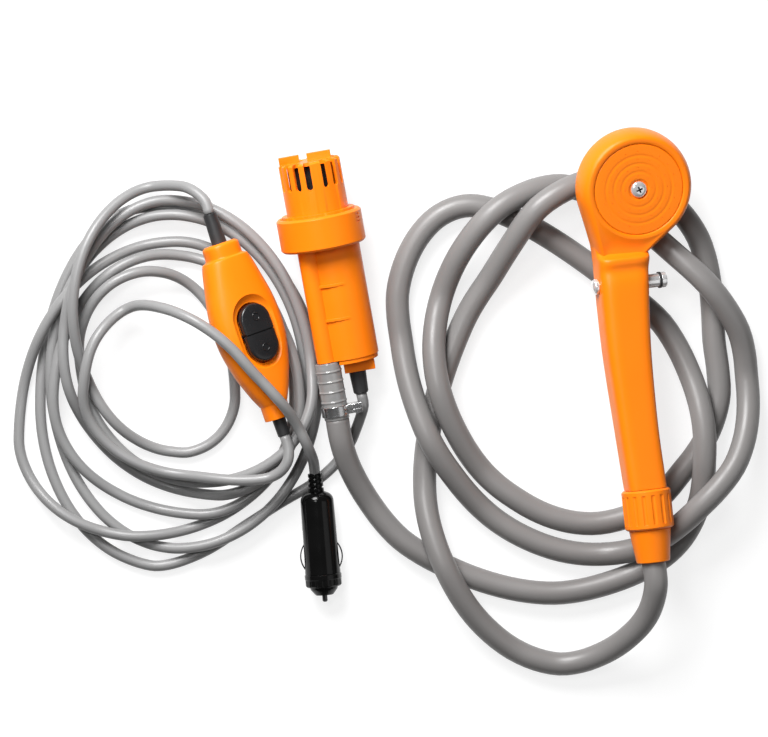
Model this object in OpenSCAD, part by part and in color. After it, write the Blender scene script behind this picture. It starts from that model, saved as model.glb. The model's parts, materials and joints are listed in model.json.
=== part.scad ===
// Camp shower pump kit: pump, hose, handset, inline switch, cable and plug, laid out on the floor
// Millimetres, +Z up, the floor is z = 0

/* [Pump] */
// Radius of the motor body
body_r = 15.75; // [14:0.25:18]
// Length of the motor body
body_len = 62.5; // [55:0.5:75]
// Radius of the water channel beside the motor
channel_r = 5.5; // [5:0.25:7]
// Distance from the motor axis to the channel axis
channel_off = 16; // [15:0.25:18]
// Radius of the pump collar
collar_r = 23.5; // [22:0.25:27]
// Length of the pump collar
collar_len = 18.5; // [17:0.5:24]
// Distance from the motor axis to the collar axis
collar_off = 4.5; // [3:0.25:6]
// Radius of the strainer cage
cage_r = 17; // [15:0.25:18.5]
// Length of the strainer cage above the collar
cage_len = 29.5; // [28:0.5:45]
// Plain band below the slots
cage_band = 14.7; // [10:0.1:18]
// Width of a strainer slot
slot_w = 3.4; // [2.5:0.1:3.8]
// Height of the feet on the cage end
foot_h = 4; // [2:0.25:6]
// Radius of the impeller
impeller_r = 12.6; // [10:0.1:13.5]
// Radius of the motor shaft
shaft_r = 1.5; // [1:0.1:2]
// Length of the clear hose end over the barb
cuff_len = 32; // [28:0.5:40]
// Width of the clamp band
clamp_w = 5.5; // [4:0.25:7]

/* [Handset] */
// Distance from the sleeve end to the head centre
head_y = 203; // [196:0.5:210]
// Radius of the shower head
head_r = 32; // [30:0.5:38]
// Radius of the spray plate
plate_r = 25; // [22:0.25:26]
// Thickness of the spray plate
plate_t = 2.4; // [1.8:0.1:3]
// Outer radius of the coupling nut
nut_r = 13.5; // [12:0.25:15]
// Length of the coupling nut
nut_len = 22; // [18:0.5:24]
// Length of the hose sleeve
sleeve_len = 18; // [15:0.5:22]
// Radius of the valve spool
spool_r = 3.8; // [3:0.1:4.2]
// Distance from the sleeve end to the valve spool
spool_y = 153; // [148:0.5:158]
// Push travel of the valve spool
spool_travel = 5; // [4:0.25:7]

/* [Switch] */
// Half width of the switch at its middle
switch_w = 20.5; // [19:0.25:24]
// Half height of the switch at its middle
switch_h = 11.5; // [11:0.25:14]
// Length of the switch housing
switch_len = 101; // [96:0.5:110]
// Length of the rocker
rocker_len = 33; // [28:0.5:38]
// Width of the rocker
rocker_w = 18.8; // [16:0.1:20]

/* [Plug] */
// Radius of the plug body at the nose end
plug_r = 9.85; // [9:0.05:10.25]
// Length of the plug body
plug_len = 45.5; // [42:0.5:50]
// Radius of the notched nose ring
ring_r = 10.25; // [9.9:0.05:10.5]
// Length of the notched nose ring
ring_len = 7.5; // [6:0.25:9]

/* [Cords] */
// Outer diameter of the hose
hose_d = 13; // [11.5:0.25:14]
// Outer diameter of the cable
cable_d = 6; // [5:0.25:6.5]

/* [Fits] */
// Radial clearance of parts that turn or slide
run_gap = 0.06; // [0.03:0.01:0.1]
// Clearance between fixed pieces that sit together
seat_gap = 0.1; // [0.05:0.01:0.2]
// Clearance between strands of cord that cross
strand_gap = 1; // [0.7:0.1:1.5]

/* [View] */
// Piece to draw, or all

/* [Hidden] */
$fn = 48;
nodes_pump = ["motor_body", "end_cap", "motor_can", "magnets", "armature", "rotor_shaft", "bearings",
    "shaft_seal", "impeller", "chamber_gasket", "collar", "suction_plate", "strainer_cage", "intake_filter",
    "pump_gland", "hose_barb", "hose_cuff", "clamp_band", "clamp_housing", "clamp_screw"];
nodes_handset = ["handset_body", "spray_plate", "plate_seal", "plate_screw", "valve_spool", "spool_rings",
    "coupling_nut", "hose_sleeve", "hose_tail", "hose_washer"];
nodes_switch = ["switch_upper", "switch_lower", "rocker", "rocker_pin", "switch_base", "terminals",
    "switch_screws", "upper_relief", "lower_relief"];
nodes_plug = ["plug_body", "plug_relief", "nose_ring", "tip_contact", "tip_spring", "fuse",
    "side_contact_left", "side_contact_right"];
nodes_cords = ["hose", "cable_pump", "cable_plug"];

orange = [0.98, 0.55, 0.06];
black = [0.08, 0.08, 0.09];
grey = [0.52, 0.52, 0.53];
steel = [0.78, 0.79, 0.8];
brass = [0.8, 0.66, 0.32];
clear_grey = [0.7, 0.71, 0.72];

// Turning matrices, used to work out where the cords start and end
function turn_x(a) = [[1, 0, 0], [0, cos(a), -sin(a)], [0, sin(a), cos(a)]];
function turn_y(a) = [[cos(a), 0, sin(a)], [0, 1, 0], [-sin(a), 0, cos(a)]];
function turn_z(a) = [[cos(a), -sin(a), 0], [sin(a), cos(a), 0], [0, 0, 1]];

// Pump place: it rests on the collar edge and on the rim of the body's lower end
pump_lean = 10;
pump_roll = 35;
pump_tilt = atan((collar_r - collar_off * sin(pump_roll) - body_r) / body_len);
pump_at = [-72.7, -6.4, body_r * cos(pump_tilt)];
function pump_point(p) =
    pump_at + turn_z(pump_lean) * turn_x(pump_tilt - 90) * turn_z(pump_roll) * p;
function pump_flat_point(p) = pump_at + turn_z(pump_lean) * turn_x(pump_tilt - 90) * p;
module at_pump_flat() {
    translate(pump_at) rotate([pump_tilt - 90, 0, pump_lean]) children();
}
module at_pump() {
    at_pump_flat() rotate([0, 0, pump_roll]) children();
}

// Handset place: local y runs up the handle, it lies on the hose with its right side lower
handset_lean = 6.3;
handset_pitch = -2;
handset_roll = 13;
handset_at = [93.3, -118.2, 37.5];
function handset_point(p) =
    handset_at + turn_z(handset_lean) * turn_x(handset_pitch) * turn_y(handset_roll) * p;
module at_handset() {
    translate(handset_at)
        rotate([handset_pitch, 0, handset_lean])
            rotate([0, handset_roll, 0])
                children();
}

// Switch place: local y runs from the lower relief to the upper one, it lies on the cable
switch_lean = 18.6;
switch_roll = 30;
switch_at = [-112.1, -40, 27.2];
function switch_point(p) = switch_at + turn_z(switch_lean) * turn_y(switch_roll) * p;
module at_switch() {
    translate(switch_at) rotate([0, switch_roll, switch_lean]) children();
}

// Plug place: local z runs from the cable to the tip
plug_lean = 4.6;
plug_at = [-91.7, -81.9, ring_r];
function plug_point(p) = plug_at + turn_z(plug_lean) * turn_x(90) * p;
module at_plug() {
    translate(plug_at) rotate([90, 0, plug_lean]) children();
}

// Solid through a row of rings with the same number of points
module loft(rings) {
    n = len(rings[0]);
    last = (len(rings) - 1) * n;
    start_cap = [for (i = [1:n - 2]) [0, i + 1, i]];
    end_cap_faces = [for (i = [1:n - 2]) [last, last + i, last + i + 1]];
    sides = [for (k = [0:len(rings) - 2]) for (i = [0:n - 1])
        let (a = k * n + i, b = k * n + (i + 1) % n)
            each [[a, b, b + n], [a, b + n, a + n]]];
    polyhedron([for (ring = rings) each ring], concat(start_cap, end_cap_faces, sides));
}

// Smooth curve through a list of points, with parts steps from one to the next
function spline(p, parts) = let (n = len(p) - 1) concat(
    [for (i = [0:n - 1]) for (k = [0:parts - 1]) let (
        t = k / parts,
        a = i > 0 ? p[i - 1] : 2 * p[0] - p[1],
        d = i < n - 1 ? p[i + 2] : 2 * p[n] - p[n - 1])
        0.5 * (2 * p[i] + t * (p[i + 1] - a) + t * t * (2 * a - 5 * p[i] + 4 * p[i + 1] - d)
            + t * t * t * (3 * p[i] - a - 3 * p[i + 1] + d))],
    [p[n]]);

// Points of a circle's arc, for profiles
function arc(centre, r, from, to, steps) =
    [for (k = [0:steps]) let (a = from + (to - from) * k / steps) centre + r * [cos(a), sin(a)]];

// Rod or tube along z between two heights
module rod(r, z0, z1) {
    translate([0, 0, z0]) cylinder(r = r, h = z1 - z0);
}
module tube(r_out, r_in, z0, z1) {
    difference() {
        rod(r_out, z0, z1);
        rod(r_in, z0 - 1, z1 + 1);
    }
}

// Pump, along the motor axis from the lower end of the body
cavity_r = channel_off - 4.4;
cavity_top = body_len - 10.5;
channel_bore = 3.2;
cap_t = 2.5;
cap_spigot = 5;
cap_r = body_r - 0.6;
block = [17, 14, 6];
block_u = 4;
gland_u = 2.3;
gland_r = 4.75;
gland_len = 13;
gland_end = -cap_t - block.z - gland_len;
flange_t = 3.5;
flange_r = collar_r - 3.5;
gasket_t = 0.8;
chamber_r = flange_r - 1;
chamber_z = body_len + flange_t + gasket_t;
collar_top = body_len + collar_len;
suction_t = 1.5;
suction_z = collar_top - 3.5;
cage_z = suction_z + suction_t + seat_gap;
cage_end = collar_top + cage_len;
lug_t = 1;
lug_r = flange_r + 1.2;
lug_angle = 16;
twist = 30;
seal_r = 4.5;
seal_z = body_len - 2.5;
barb_r = 4.5;
barb_ridge = 0.5;
barb_pitch = 5.4;
barb_flange = cap_t;
barb_rings = 4;
barb_len = barb_flange + barb_pitch * (barb_rings + 0.5);
cuff_r = 7.1;
cuff_bulge = 0.45;
clamp_t = 0.7;
clamp_z = -cuff_len + 2;
clamp_off = 11.8;
magnet_z = 12;
magnet_end = 8;
magnet_t = 1.95;
magnet_deep = 3;
armature_z = 14;
armature_end = 10;
shaft_out = 9;
web_t = 1.4;
web_proud = 1;
web_at = [22.2, 41.2];

module on_channel() {
    translate([-channel_off, 0, 0]) children();
}
module on_collar() {
    translate([-collar_off, 0, 0]) children();
}

module valley_web(side) {
    first = 35;
    last = 80;
    rim = [for (a = [first:15:last]) let (r = body_r + web_proud * (last - a) / (last - first))
        [-r * cos(a), side * r * sin(a)]];
    polygon(concat([[0, 0], [-channel_off, 0], [-channel_off, side * (channel_r + 0.2)]], rim));
}

module motor_body() {
    color(orange) at_pump() difference() {
        union() {
            rod(body_r, 0, body_len + 1);
            on_channel() rod(channel_r, 0, body_len + 1);
            on_collar() rod(flange_r, body_len, body_len + flange_t);
            for (z = web_at, side = [-1, 1])
                translate([0, 0, z]) linear_extrude(web_t) valley_web(side);
        }
        rod(cavity_r, -1, cavity_top);
        rod(shaft_r + 0.4, cavity_top - 1, body_len + flange_t + 1);
        rod(seal_r, seal_z, body_len + flange_t + 1);
        on_channel() rod(channel_bore, -1, body_len + flange_t + 1);
    }
}

module end_cap() {
    color(orange) difference() {
        union() {
            at_pump() {
                rod(cap_r, -cap_t, -seat_gap);
                rod(cavity_r - seat_gap, -1, cap_spigot);
            }
            at_pump_flat() translate([block_u - block.x / 2, -block.y / 2, -cap_t - block.z])
                cube([block.x, block.y, block.z + 0.1]);
        }
        at_pump() on_channel() rod(cuff_r + cuff_bulge + 0.3, -cap_t - block.z - 1, -seat_gap);
        at_pump() rod(3, 2, cap_spigot + 1);
    }
}

module motor_can() {
    can_z = cap_spigot + seat_gap;
    color(steel) at_pump() difference() {
        rod(cavity_r - seat_gap, can_z, cavity_top - seat_gap);
        rod(cavity_r - 1, can_z + 2, cavity_top - 2);
        rod(2 * shaft_r + 0.1, can_z - 1, cavity_top + 1);
    }
}

module magnets() {
    color(black) at_pump() for (side = [0, 180])
        rotate([0, 0, side - 70]) translate([0, 0, magnet_z])
            rotate_extrude(angle = 140) translate([cavity_r - magnet_deep, 0])
                square([magnet_t, cavity_top - magnet_end - magnet_z]);
}

module armature() {
    color(brass) at_pump()
        tube(cavity_r - magnet_deep - 0.6, shaft_r + 0.02, armature_z, cavity_top - armature_end);
}

module rotor_shaft() {
    color(steel) at_pump() rod(shaft_r, cap_spigot + 1, chamber_z + shaft_out);
}

module bearings() {
    can_z = cap_spigot + seat_gap;
    color(brass) at_pump() for (z = [can_z, cavity_top - seat_gap - 2])
        tube(2 * shaft_r + 0.05, shaft_r + run_gap, z, z + 2);
}

module shaft_seal() {
    color(black) at_pump() tube(seal_r - 0.05, shaft_r + run_gap, seal_z, seal_z + 4);
}

vanes = 6;
module impeller() {
    hub_r = 4.2;
    vane_lean = 25;
    base_z = chamber_z + 0.8;
    vane_top = base_z + 8;
    color(black) at_pump() difference() {
        union() {
            rod(impeller_r, base_z, base_z + 1.6);
            rod(hub_r, base_z, vane_top);
            for (k = [0:vanes - 1]) rotate([0, 0, k * 360 / vanes])
                translate([hub_r - 1, 0, base_z + 1]) rotate([0, 0, -vane_lean])
                    translate([0, -0.5, 0]) cube([impeller_r - hub_r, 1, vane_top - base_z - 1.5]);
        }
        rod(shaft_r + 0.02, base_z - 1, vane_top + 1);
    }
}

module chamber_gasket() {
    color(black) at_pump() on_collar()
        tube(flange_r, chamber_r, body_len + flange_t, chamber_z);
}

module collar() {
    edge = 1.2;
    mark_at = -66;
    seat_r = flange_r + seat_gap;
    groove_r = lug_r + 0.2;
    groove_z = cage_z - 0.1;
    lip_z = groove_z + lug_t + 0.2;
    color(orange) at_pump() on_collar() difference() {
        rotate_extrude() polygon([
            [seat_r, body_len], [collar_r - edge, body_len], [collar_r, body_len + edge],
            [collar_r, collar_top - edge], [collar_r - edge, collar_top], [seat_r, collar_top],
            [seat_r, lip_z], [groove_r, lip_z], [groove_r, groove_z], [seat_r, groove_z],
            [seat_r, suction_z], [chamber_r, suction_z], [chamber_r, chamber_z], [seat_r, chamber_z]]);
        for (k = [0:2]) rotate([0, 0, 120 * k + twist - lug_angle / 2 - 2])
            translate([0, 0, lip_z - 0.3]) rotate_extrude(angle = lug_angle + 4)
                translate([seat_r - 2, 0]) square([groove_r - seat_r + 1.9, 5]);
        for (k = [0:2]) rotate([0, 0, mark_at]) translate([0, 0, collar_top - edge - 2 - 2 * k])
            rotate_extrude(angle = 10) translate([collar_r - 0.5, 0]) square([1, 0.8]);
    }
}

module suction_plate() {
    color(orange) at_pump() difference() {
        on_collar() rod(flange_r, suction_z, suction_z + suction_t);
        rod(6, suction_z - 1, suction_z + suction_t + 1);
    }
}

slot_groups = 3;
slots_each = 5;
slot_pitch = 22;
cage_front = 126;
cage_wall = 1.8;
cage_lid = 2;
filter_r = 9.5;
filter_t = 4;
foot_w = 4;
feet_lean = 145;
// Feet across the cage end: start and length
feet = [[5, 11.2], [-12.4, 13.1]];
module slot_outline() {
    r = slot_w / 2;
    polygon(concat(arc([0, r], r, 180, 360, 8), [[r, cage_len], [-r, cage_len]]));
}
module strainer_cage() {
    slot_z = collar_top + cage_band;
    inner_r = cage_r - cage_wall;
    bayonet_r = flange_r + seat_gap - run_gap;
    bayonet_top = collar_top + 1.2;
    first_slot = cage_front + (360 / slot_groups - (slots_each - 1) * slot_pitch) / 2;
    color(orange) at_pump() on_collar() {
        difference() {
            union() {
                rotate_extrude() polygon([
                    [inner_r, cage_z], [bayonet_r, cage_z], [bayonet_r, bayonet_top], [cage_r, bayonet_top],
                    [cage_r, cage_end - 1], [cage_r - 1, cage_end], [0, cage_end],
                    [0, cage_end - cage_lid], [inner_r, cage_end - cage_lid]]);
                for (k = [0:2]) rotate([0, 0, 120 * k - lug_angle / 2]) translate([0, 0, cage_z])
                    rotate_extrude(angle = lug_angle) translate([cage_r, 0]) square([lug_r - cage_r, lug_t]);
            }
            for (g = [0:slot_groups - 1], k = [0:slots_each - 1])
                rotate([0, 0, first_slot + g * 360 / slot_groups + k * slot_pitch])
                    translate([cage_r - 4.5, 0, slot_z]) rotate([90, 0, 90]) linear_extrude(6)
                        slot_outline();
        }
        rotate([0, 0, feet_lean]) for (foot = feet)
            translate([foot[0], -foot_w / 2, cage_end - 1.5]) cube([foot[1], foot_w, foot_h + 1.5]);
    }
}

module intake_filter() {
    color(black) at_pump() on_collar()
        tube(filter_r, filter_r - filter_t, cage_z + seat_gap, cage_end - cage_lid - seat_gap);
}

module pump_gland() {
    tip = 1;
    color(black) at_pump_flat() translate([gland_u, 0, gland_end]) {
        cylinder(r1 = gland_r - 1.2, r2 = gland_r - 0.6, h = tip);
        translate([0, 0, tip]) cylinder(r1 = gland_r - 0.6, r2 = gland_r, h = gland_len - tip);
    }
}

module hose_barb() {
    color(steel) at_pump() on_channel() difference() {
        union() {
            rod(channel_r - 0.1, -barb_flange, -2 * seat_gap);
            rod(channel_bore - 0.03, -barb_flange, 8);
            rod(barb_r, -barb_len, -barb_flange);
            for (k = [1:barb_rings]) translate([0, 0, -barb_flange - barb_pitch * k])
                cylinder(r1 = barb_r, r2 = barb_r + barb_ridge, h = 3);
        }
        rod(channel_bore - 1, -barb_len - 1, 9);
    }
}

module hose_cuff() {
    top = -barb_flange - seat_gap;
    bulges = [for (k = [0:barb_rings * 8]) let (z = -barb_flange - 0.2 - k * barb_pitch / 8)
        [cuff_r + cuff_bulge * (1 - cos(k * 45)) / 2, z]];
    color(clear_grey) at_pump() on_channel() rotate_extrude()
        polygon(concat([[barb_r + barb_ridge + 0.05, top], [cuff_r, top]], bulges,
            [[cuff_r, -cuff_len], [hose_d / 2 - 3.5, -cuff_len], [hose_d / 2 - 3.5, -barb_len - 0.2],
                [barb_r + barb_ridge + 0.05, -barb_len - 0.2]]));
}

module clamp_band() {
    color(steel) at_pump() on_channel()
        tube(cuff_r + seat_gap + clamp_t, cuff_r + seat_gap, clamp_z, clamp_z + clamp_w);
}

// Clamp screw place: at the screen right of the clear hose end, the screw points up
module at_clamp() {
    at_pump() on_channel() rotate([0, 0, -pump_roll])
        translate([clamp_off, 0, clamp_z + clamp_w / 2]) rotate([90, 0, 0]) children();
}

screw_r = 2;
module clamp_housing() {
    inner = cuff_r + seat_gap + clamp_t;
    color(steel) difference() {
        at_clamp() translate([-clamp_off + inner - 2, -clamp_w / 2 + 0.2, -4])
            cube([clamp_off - inner + 5, clamp_w - 0.4, 8]);
        at_clamp() rod(screw_r + 0.05, -5, 5);
        at_pump() on_channel() rod(inner + 0.02, clamp_z - 1, clamp_z + clamp_w + 1);
    }
}

module clamp_screw() {
    color(steel) at_clamp() difference() {
        union() {
            rod(screw_r, -4.5, 4.2);
            rod(2.6, 4.1, 6.6);
        }
        translate([-3, -0.35, 5.6]) cube([6, 0.7, 2]);
    }
}

// Handset, along the handle from the sleeve end
spigot_r = 9;
spigot_y = sleeve_len + 6;
handle_y = sleeve_len + nut_len + 0.3;
tail_neck = 6.5;
tail_bore = 2.8;
water_z = 1;
water_r = 3.5;
head_x = 10;
head_z = 17;
head_tilt = 13;
head_depth = 23;
head_floor = 12;
seal_t = 1.2;
post_r = 5;
plate_screw_r = 1.8;
rim_h = 12.5;

// Places along the handle: y, half width, half depth, shift in x, shift in z
handle_rows = [
    [handle_y, 10.8, 10.2, 0, 0],
    [46, 10.9, 10.3, -0.3, 0],
    [74, 11.2, 10.6, -1.5, 0],
    [112, 12.4, 11.2, -2.2, 0],
    [139, 13.4, 11.8, -1.5, 0],
    [154, 13.9, 12.1, -0.8, 0.2],
    [162, 14.4, 12.3, -0.2, 0.4],
    [168, 14.8, 11.9, 0.2, 0.1],
    [172, 15.4, 10.3, 0.9, -0.8],
    [178.5, 18.6, 10.7, 3.2, 0],
    [184, 22.8, 11.1, 6.6, 0.7],
    [191, 25.5, 11.3, 8.6, 1.8]];
handle_sides = 24;
handle_square = 2.7;
// Rounded box section: 2 is an ellipse, more is squarer
function bulge(v, power) = sign(v) * pow(abs(v), 2 / power);
function handle_ring(row) = [for (k = [0:handle_sides - 1]) let (a = k * 360 / handle_sides)
    [row[3] + row[1] * bulge(cos(a), handle_square), row[0], row[4] + row[2] * bulge(sin(a), handle_square)]];

module along_y() {
    rotate([-90, 0, 0]) children();
}
module at_head() {
    at_handset() translate([head_x, head_y, head_z]) rotate([head_tilt, 0, 0]) children();
}

module head_shell() {
    rim_w = head_r - plate_r - 0.7;
    rim = [for (a = [-10:10:90]) [head_r - rim_w + rim_w * cos(a), -rim_h + rim_h * sin(a)]];
    rotate_extrude($fn = 72) polygon(concat(
        [[0, -head_depth], [head_r - 15, -head_depth], [head_r - 8.5, -head_depth + 2],
            [head_r - 3.2, -head_depth + 5.4]],
        rim, [[0, 0]]));
}

module handset_body() {
    color(orange) difference() {
        union() {
            at_handset() {
                loft([for (row = spline(handle_rows, 2)) handle_ring(row)]);
                along_y() rod(spigot_r, spigot_y, handle_y + 3);
            }
            at_head() head_shell();
        }
        at_handset() {
            translate([0, 0, water_z]) along_y() rod(water_r, spigot_y + 8, head_y - 12);
            along_y() rod(water_r + 1.7, spigot_y - 1, spigot_y + 9);
            translate([0, spool_y, water_z]) rotate([0, 90, 0])
                rod(spool_r + run_gap, -2 * spool_side, 2 * spool_side);
        }
        at_head() {
            rod(plate_r + seat_gap, -plate_t - seal_t, 2);
            difference() {
                rod(plate_r - 2.2, -head_floor, -plate_t);
                rod(post_r, -head_floor - 1, -plate_t - seal_t);
            }
            rod(plate_screw_r + 0.05, -head_floor, 0);
        }
    }
}

// Rings of spray holes: share of the plate radius, count
spray_rings = [[0.3, 8], [0.48, 12], [0.66, 16], [0.84, 20]];
spray_r = 0.4;
module spray_plate() {
    groove = 0.3;
    grooves = [for (ring = spray_rings) let (r = (ring[0] + 0.09) * plate_r)
        each [[r - 0.6, 0], [r, -groove], [r + 0.6, 0]]];
    color(orange) at_head() difference() {
        rotate_extrude($fn = 72) polygon(concat([[0, -plate_t], [0, -1], [4.6, -1], [4.9, 0]], grooves,
            [[plate_r - 0.4, 0], [plate_r, -0.4], [plate_r, -plate_t]]));
        for (ring = spray_rings, k = [0:ring[1] - 1]) rotate([0, 0, k * 360 / ring[1]])
            translate([ring[0] * plate_r, 0, -plate_t - 1]) cylinder(r = spray_r, h = plate_t + 2, $fn = 6);
        rod(plate_screw_r + 0.2, -plate_t - 1, 1);
    }
}

module plate_seal() {
    color(black) at_head() tube(plate_r, plate_r - 2, -plate_t - seal_t, -plate_t);
}

module plate_screw() {
    head_top = 1.1;
    color(steel) at_head() difference() {
        union() {
            rotate_extrude() polygon([[0, -1], [3.9, -1], [3.9, -0.4], [3.2, 0.5], [1.9, head_top],
                [0, head_top]]);
            rod(plate_screw_r, -head_floor + 1, -0.9);
        }
        for (a = [20, 110]) rotate([0, 0, a]) translate([-2.1, -0.45, 0.1]) cube([4.2, 0.9, 2]);
    }
}

module on_spool() {
    at_handset() translate([0, spool_y, water_z]) rotate([0, 90, 0]) children();
}

spool_side = 14.4;
ring_w = 1.5;
ring_deep = 0.7;
spool_groove_at = [-7.5, 0, 9.5];
module valve_spool() {
    stem_end = spool_side + spool_travel + 0.5;
    color(steel) on_spool() difference() {
        union() {
            rod(spool_r, -spool_side - 1, stem_end + 1);
            translate([0, 0, -spool_side - 2]) cylinder(r1 = spool_r - 1.2, r2 = spool_r, h = 1);
            rod(spool_r + 0.55, stem_end + 1.2, stem_end + 3.4);
            rod(spool_r + 0.25, stem_end + 3.3, stem_end + 4);
            rod(spool_r - 0.6, stem_end, stem_end + 2);
        }
        for (x = spool_groove_at) tube(spool_r + 1, spool_r - ring_deep, x - ring_w / 2, x + ring_w / 2);
        rod(spool_r - 1.4, stem_end + 2.8, stem_end + 5);
    }
}

module spool_rings() {
    stop_x = spool_side + spool_travel + 0.5;
    color(black) on_spool() {
        for (x = spool_groove_at)
            tube(spool_r + run_gap - 0.02, spool_r - ring_deep + 0.02, x - ring_w / 2 + 0.05,
                x + ring_w / 2 - 0.05);
        tube(spool_r + 0.7, spool_r + 0.02, stop_x - 0.2, stop_x + 0.95);
    }
}

nut_flutes = 16;
module coupling_nut() {
    lip = 2.5;
    color(orange) at_handset() along_y() translate([0, 0, sleeve_len]) difference() {
        rotate_extrude() polygon([[0, 0.2], [nut_r - 1, 0.2], [nut_r, 1.2], [nut_r, nut_len - 1],
            [nut_r - 1, nut_len], [0, nut_len]]);
        rod(spigot_r + run_gap, lip, nut_len + 1);
        rod(tail_neck + run_gap, -1, lip + 1);
        for (k = [0:nut_flutes - 1]) rotate([0, 0, k * 360 / nut_flutes])
            translate([nut_r + 0.7, 0, 3]) cylinder(r = 1.4, h = nut_len - 6, $fn = 16);
    }
}

module hose_sleeve() {
    color(orange) at_handset() along_y() difference() {
        cylinder(r1 = hose_d / 2 + 2.65, r2 = nut_r - 2, h = sleeve_len);
        rod(tail_bore, -1, 3);
        rod(barb_r + 0.1, 2, sleeve_len + 1);
    }
}

module hose_tail() {
    lip = 2.5;
    color(brass) at_handset() along_y() difference() {
        union() {
            rod(barb_r, 2.1, sleeve_len);
            rod(tail_neck, sleeve_len + 0.05, sleeve_len + lip + 1);
            rod(barb_r, sleeve_len - 1, sleeve_len + 1);
            rod(spigot_r - 0.1, sleeve_len + lip + 0.1, sleeve_len + lip + 2);
        }
        rod(tail_bore, 1, sleeve_len + 6);
    }
}

module hose_washer() {
    lip = 2.5;
    color(black) at_handset() along_y()
        tube(spigot_r - 0.1, tail_bore + 1, sleeve_len + lip + 2, spigot_y);
}

// Switch, along its length from the lower end
wall = 2.8;
relief_in = 9;
upper_relief_len = 17;
lower_relief_len = 10;
rocker_y = 0.48 * switch_len;
rocker_end_gap = 0.9;
rocker_side_gap = 0.45;
rocker_pin_z = 5;
rocker_proud = 1.4;
pin_r = 1.2;
dish = 2;
dish_rim = 5;
base_x = 24;
base_len = 28;
terminal = [3, 6, 1];
base_z = -switch_h + wall + 2.5;
boss_at = [0.23 * switch_len, 0.79 * switch_len];
boss_r = 3.4;

// Places along the switch as shares of its length, half width and half height
switch_rows = [[0, 0.354, 0.63], [0.078, 0.354, 0.63], [0.095, 0.39, 0.68], [0.146, 0.527, 0.76],
    [0.21, 0.66, 0.83], [0.28, 0.79, 0.89], [0.42, 0.96, 0.98], [0.55, 1, 1], [0.66, 0.95, 0.99],
    [0.76, 0.84, 0.96], [0.86, 0.72, 0.92], [0.914, 0.63, 0.89], [0.927, 0.49, 0.82], [1, 0.488, 0.82]];
switch_sides = 14;
switch_square = 2.5;
function switch_ring(row, side, inset) = [for (k = [0:switch_sides]) let (a = 180 * k / switch_sides)
    [(row[1] * switch_w - inset) * bulge(cos(a), switch_square), row[0] * switch_len,
        side * (row[2] * switch_h - inset) * bulge(sin(a), switch_square)]];
function side_order(ring, side) = side > 0 ? ring : [for (k = [len(ring) - 1:-1:0]) ring[k]];
// The hollow runs from the third place to the last but two, and reaches past the parting plane
function hollow_rows() = [for (k = [2:len(switch_rows) - 3]) switch_rows[k]];
function hollow_ring(row, side) = let (ring = switch_ring(row, side, wall), past = [0, 0, -0.5 * side])
    concat([ring[0] + past], ring, [ring[switch_sides] + past]);

module stadium(length, width, grow) {
    d = width + 2 * grow;
    for (end = [-1, 1]) translate([0, end * (length - width) / 2]) circle(d = d);
    square([d, length - width], center = true);
}

module half_shell(side) {
    difference() {
        loft([for (row = switch_rows) side_order(switch_ring(row, side, 0), side)]);
        difference() {
            loft([for (row = hollow_rows()) side_order(hollow_ring(row, side), side)]);
            for (y = boss_at) translate([0, y, 0]) rod(boss_r, -switch_h, switch_h);
            for (x = [-5, 5], y = [-8, 8]) translate([x, rocker_y + y, 0])
                rod(1.8, -switch_h, base_z - seat_gap);
        }
        along_y() rod(gland_r - 0.5 + 0.05, switch_len - relief_in, switch_len + 1);
        along_y() rod(gland_r - 1 + 0.05, -1, relief_in);
    }
}

module switch_upper() {
    color(orange) at_switch() difference() {
        half_shell(1);
        translate([0, rocker_y, 2]) linear_extrude(switch_h) offset_stadium();
        translate([0, rocker_y, switch_h - dish]) linear_extrude(switch_h)
            stadium(rocker_len, rocker_w, dish_rim);
        for (y = boss_at) translate([0, y, 0]) rod(1.3, -1, 6);
    }
}

module offset_stadium() {
    stadium(rocker_len + 2 * (rocker_end_gap - rocker_side_gap), rocker_w, rocker_side_gap);
}

module switch_lower() {
    color(orange) at_switch() difference() {
        half_shell(-1);
        for (y = boss_at) translate([0, y, 0]) {
            rod(1.65, -switch_h - 1, 1);
            rod(2.8, -switch_h - 1, -switch_h + 3.6);
        }
    }
}

module rocker() {
    top = switch_h + rocker_proud;
    color(black) at_switch() translate([0, rocker_y, 0]) difference() {
        union() {
            translate([0, 0, rocker_pin_z - 2.6]) linear_extrude(top - rocker_pin_z + 2.6)
                stadium(rocker_len, rocker_w, 0);
            for (end = [-1, 1]) translate([0, end * rocker_len / 4, top - 0.1]) rod(2.4, 0, 0.6);
        }
        translate([-rocker_w, -0.4, top - 1]) cube([2 * rocker_w, 0.8, 2]);
        translate([0, 0, rocker_pin_z]) rotate([0, 90, 0]) rod(pin_r + run_gap, -rocker_w, rocker_w);
    }
}

module rocker_pin() {
    color(steel) at_switch() translate([0, rocker_y, rocker_pin_z]) rotate([0, 90, 0])
        rod(pin_r, -base_x / 2 + 0.2, base_x / 2 - 0.2);
}

module switch_base() {
    ear = 1.6;
    shoulder_z = base_z + 1.6;
    color(black) at_switch() translate([0, rocker_y, 0]) difference() {
        union() {
            translate([-9, -base_len / 2, base_z]) cube([18, base_len, 5]);
            translate([-base_x / 2, -5, shoulder_z]) cube([base_x, 10, base_z + 5 - shoulder_z]);
            for (side = [-1, 1]) translate([side * (base_x / 2 - ear / 2) - ear / 2, -3, shoulder_z])
                cube([ear, 6, rocker_pin_z + 1.8 - shoulder_z]);
        }
        translate([0, 0, rocker_pin_z]) rotate([0, 90, 0]) rod(pin_r + 0.02, -base_x, base_x);
    }
}

module terminals() {
    color(brass) at_switch() translate([0, rocker_y, base_z + 1.5])
        for (end = [-1, 1], x = [-5, 5])
            translate([x, end * (base_len / 2 + terminal.y / 2 + seat_gap / 2), terminal.z / 2])
                cube(terminal, center = true);
}

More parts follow.
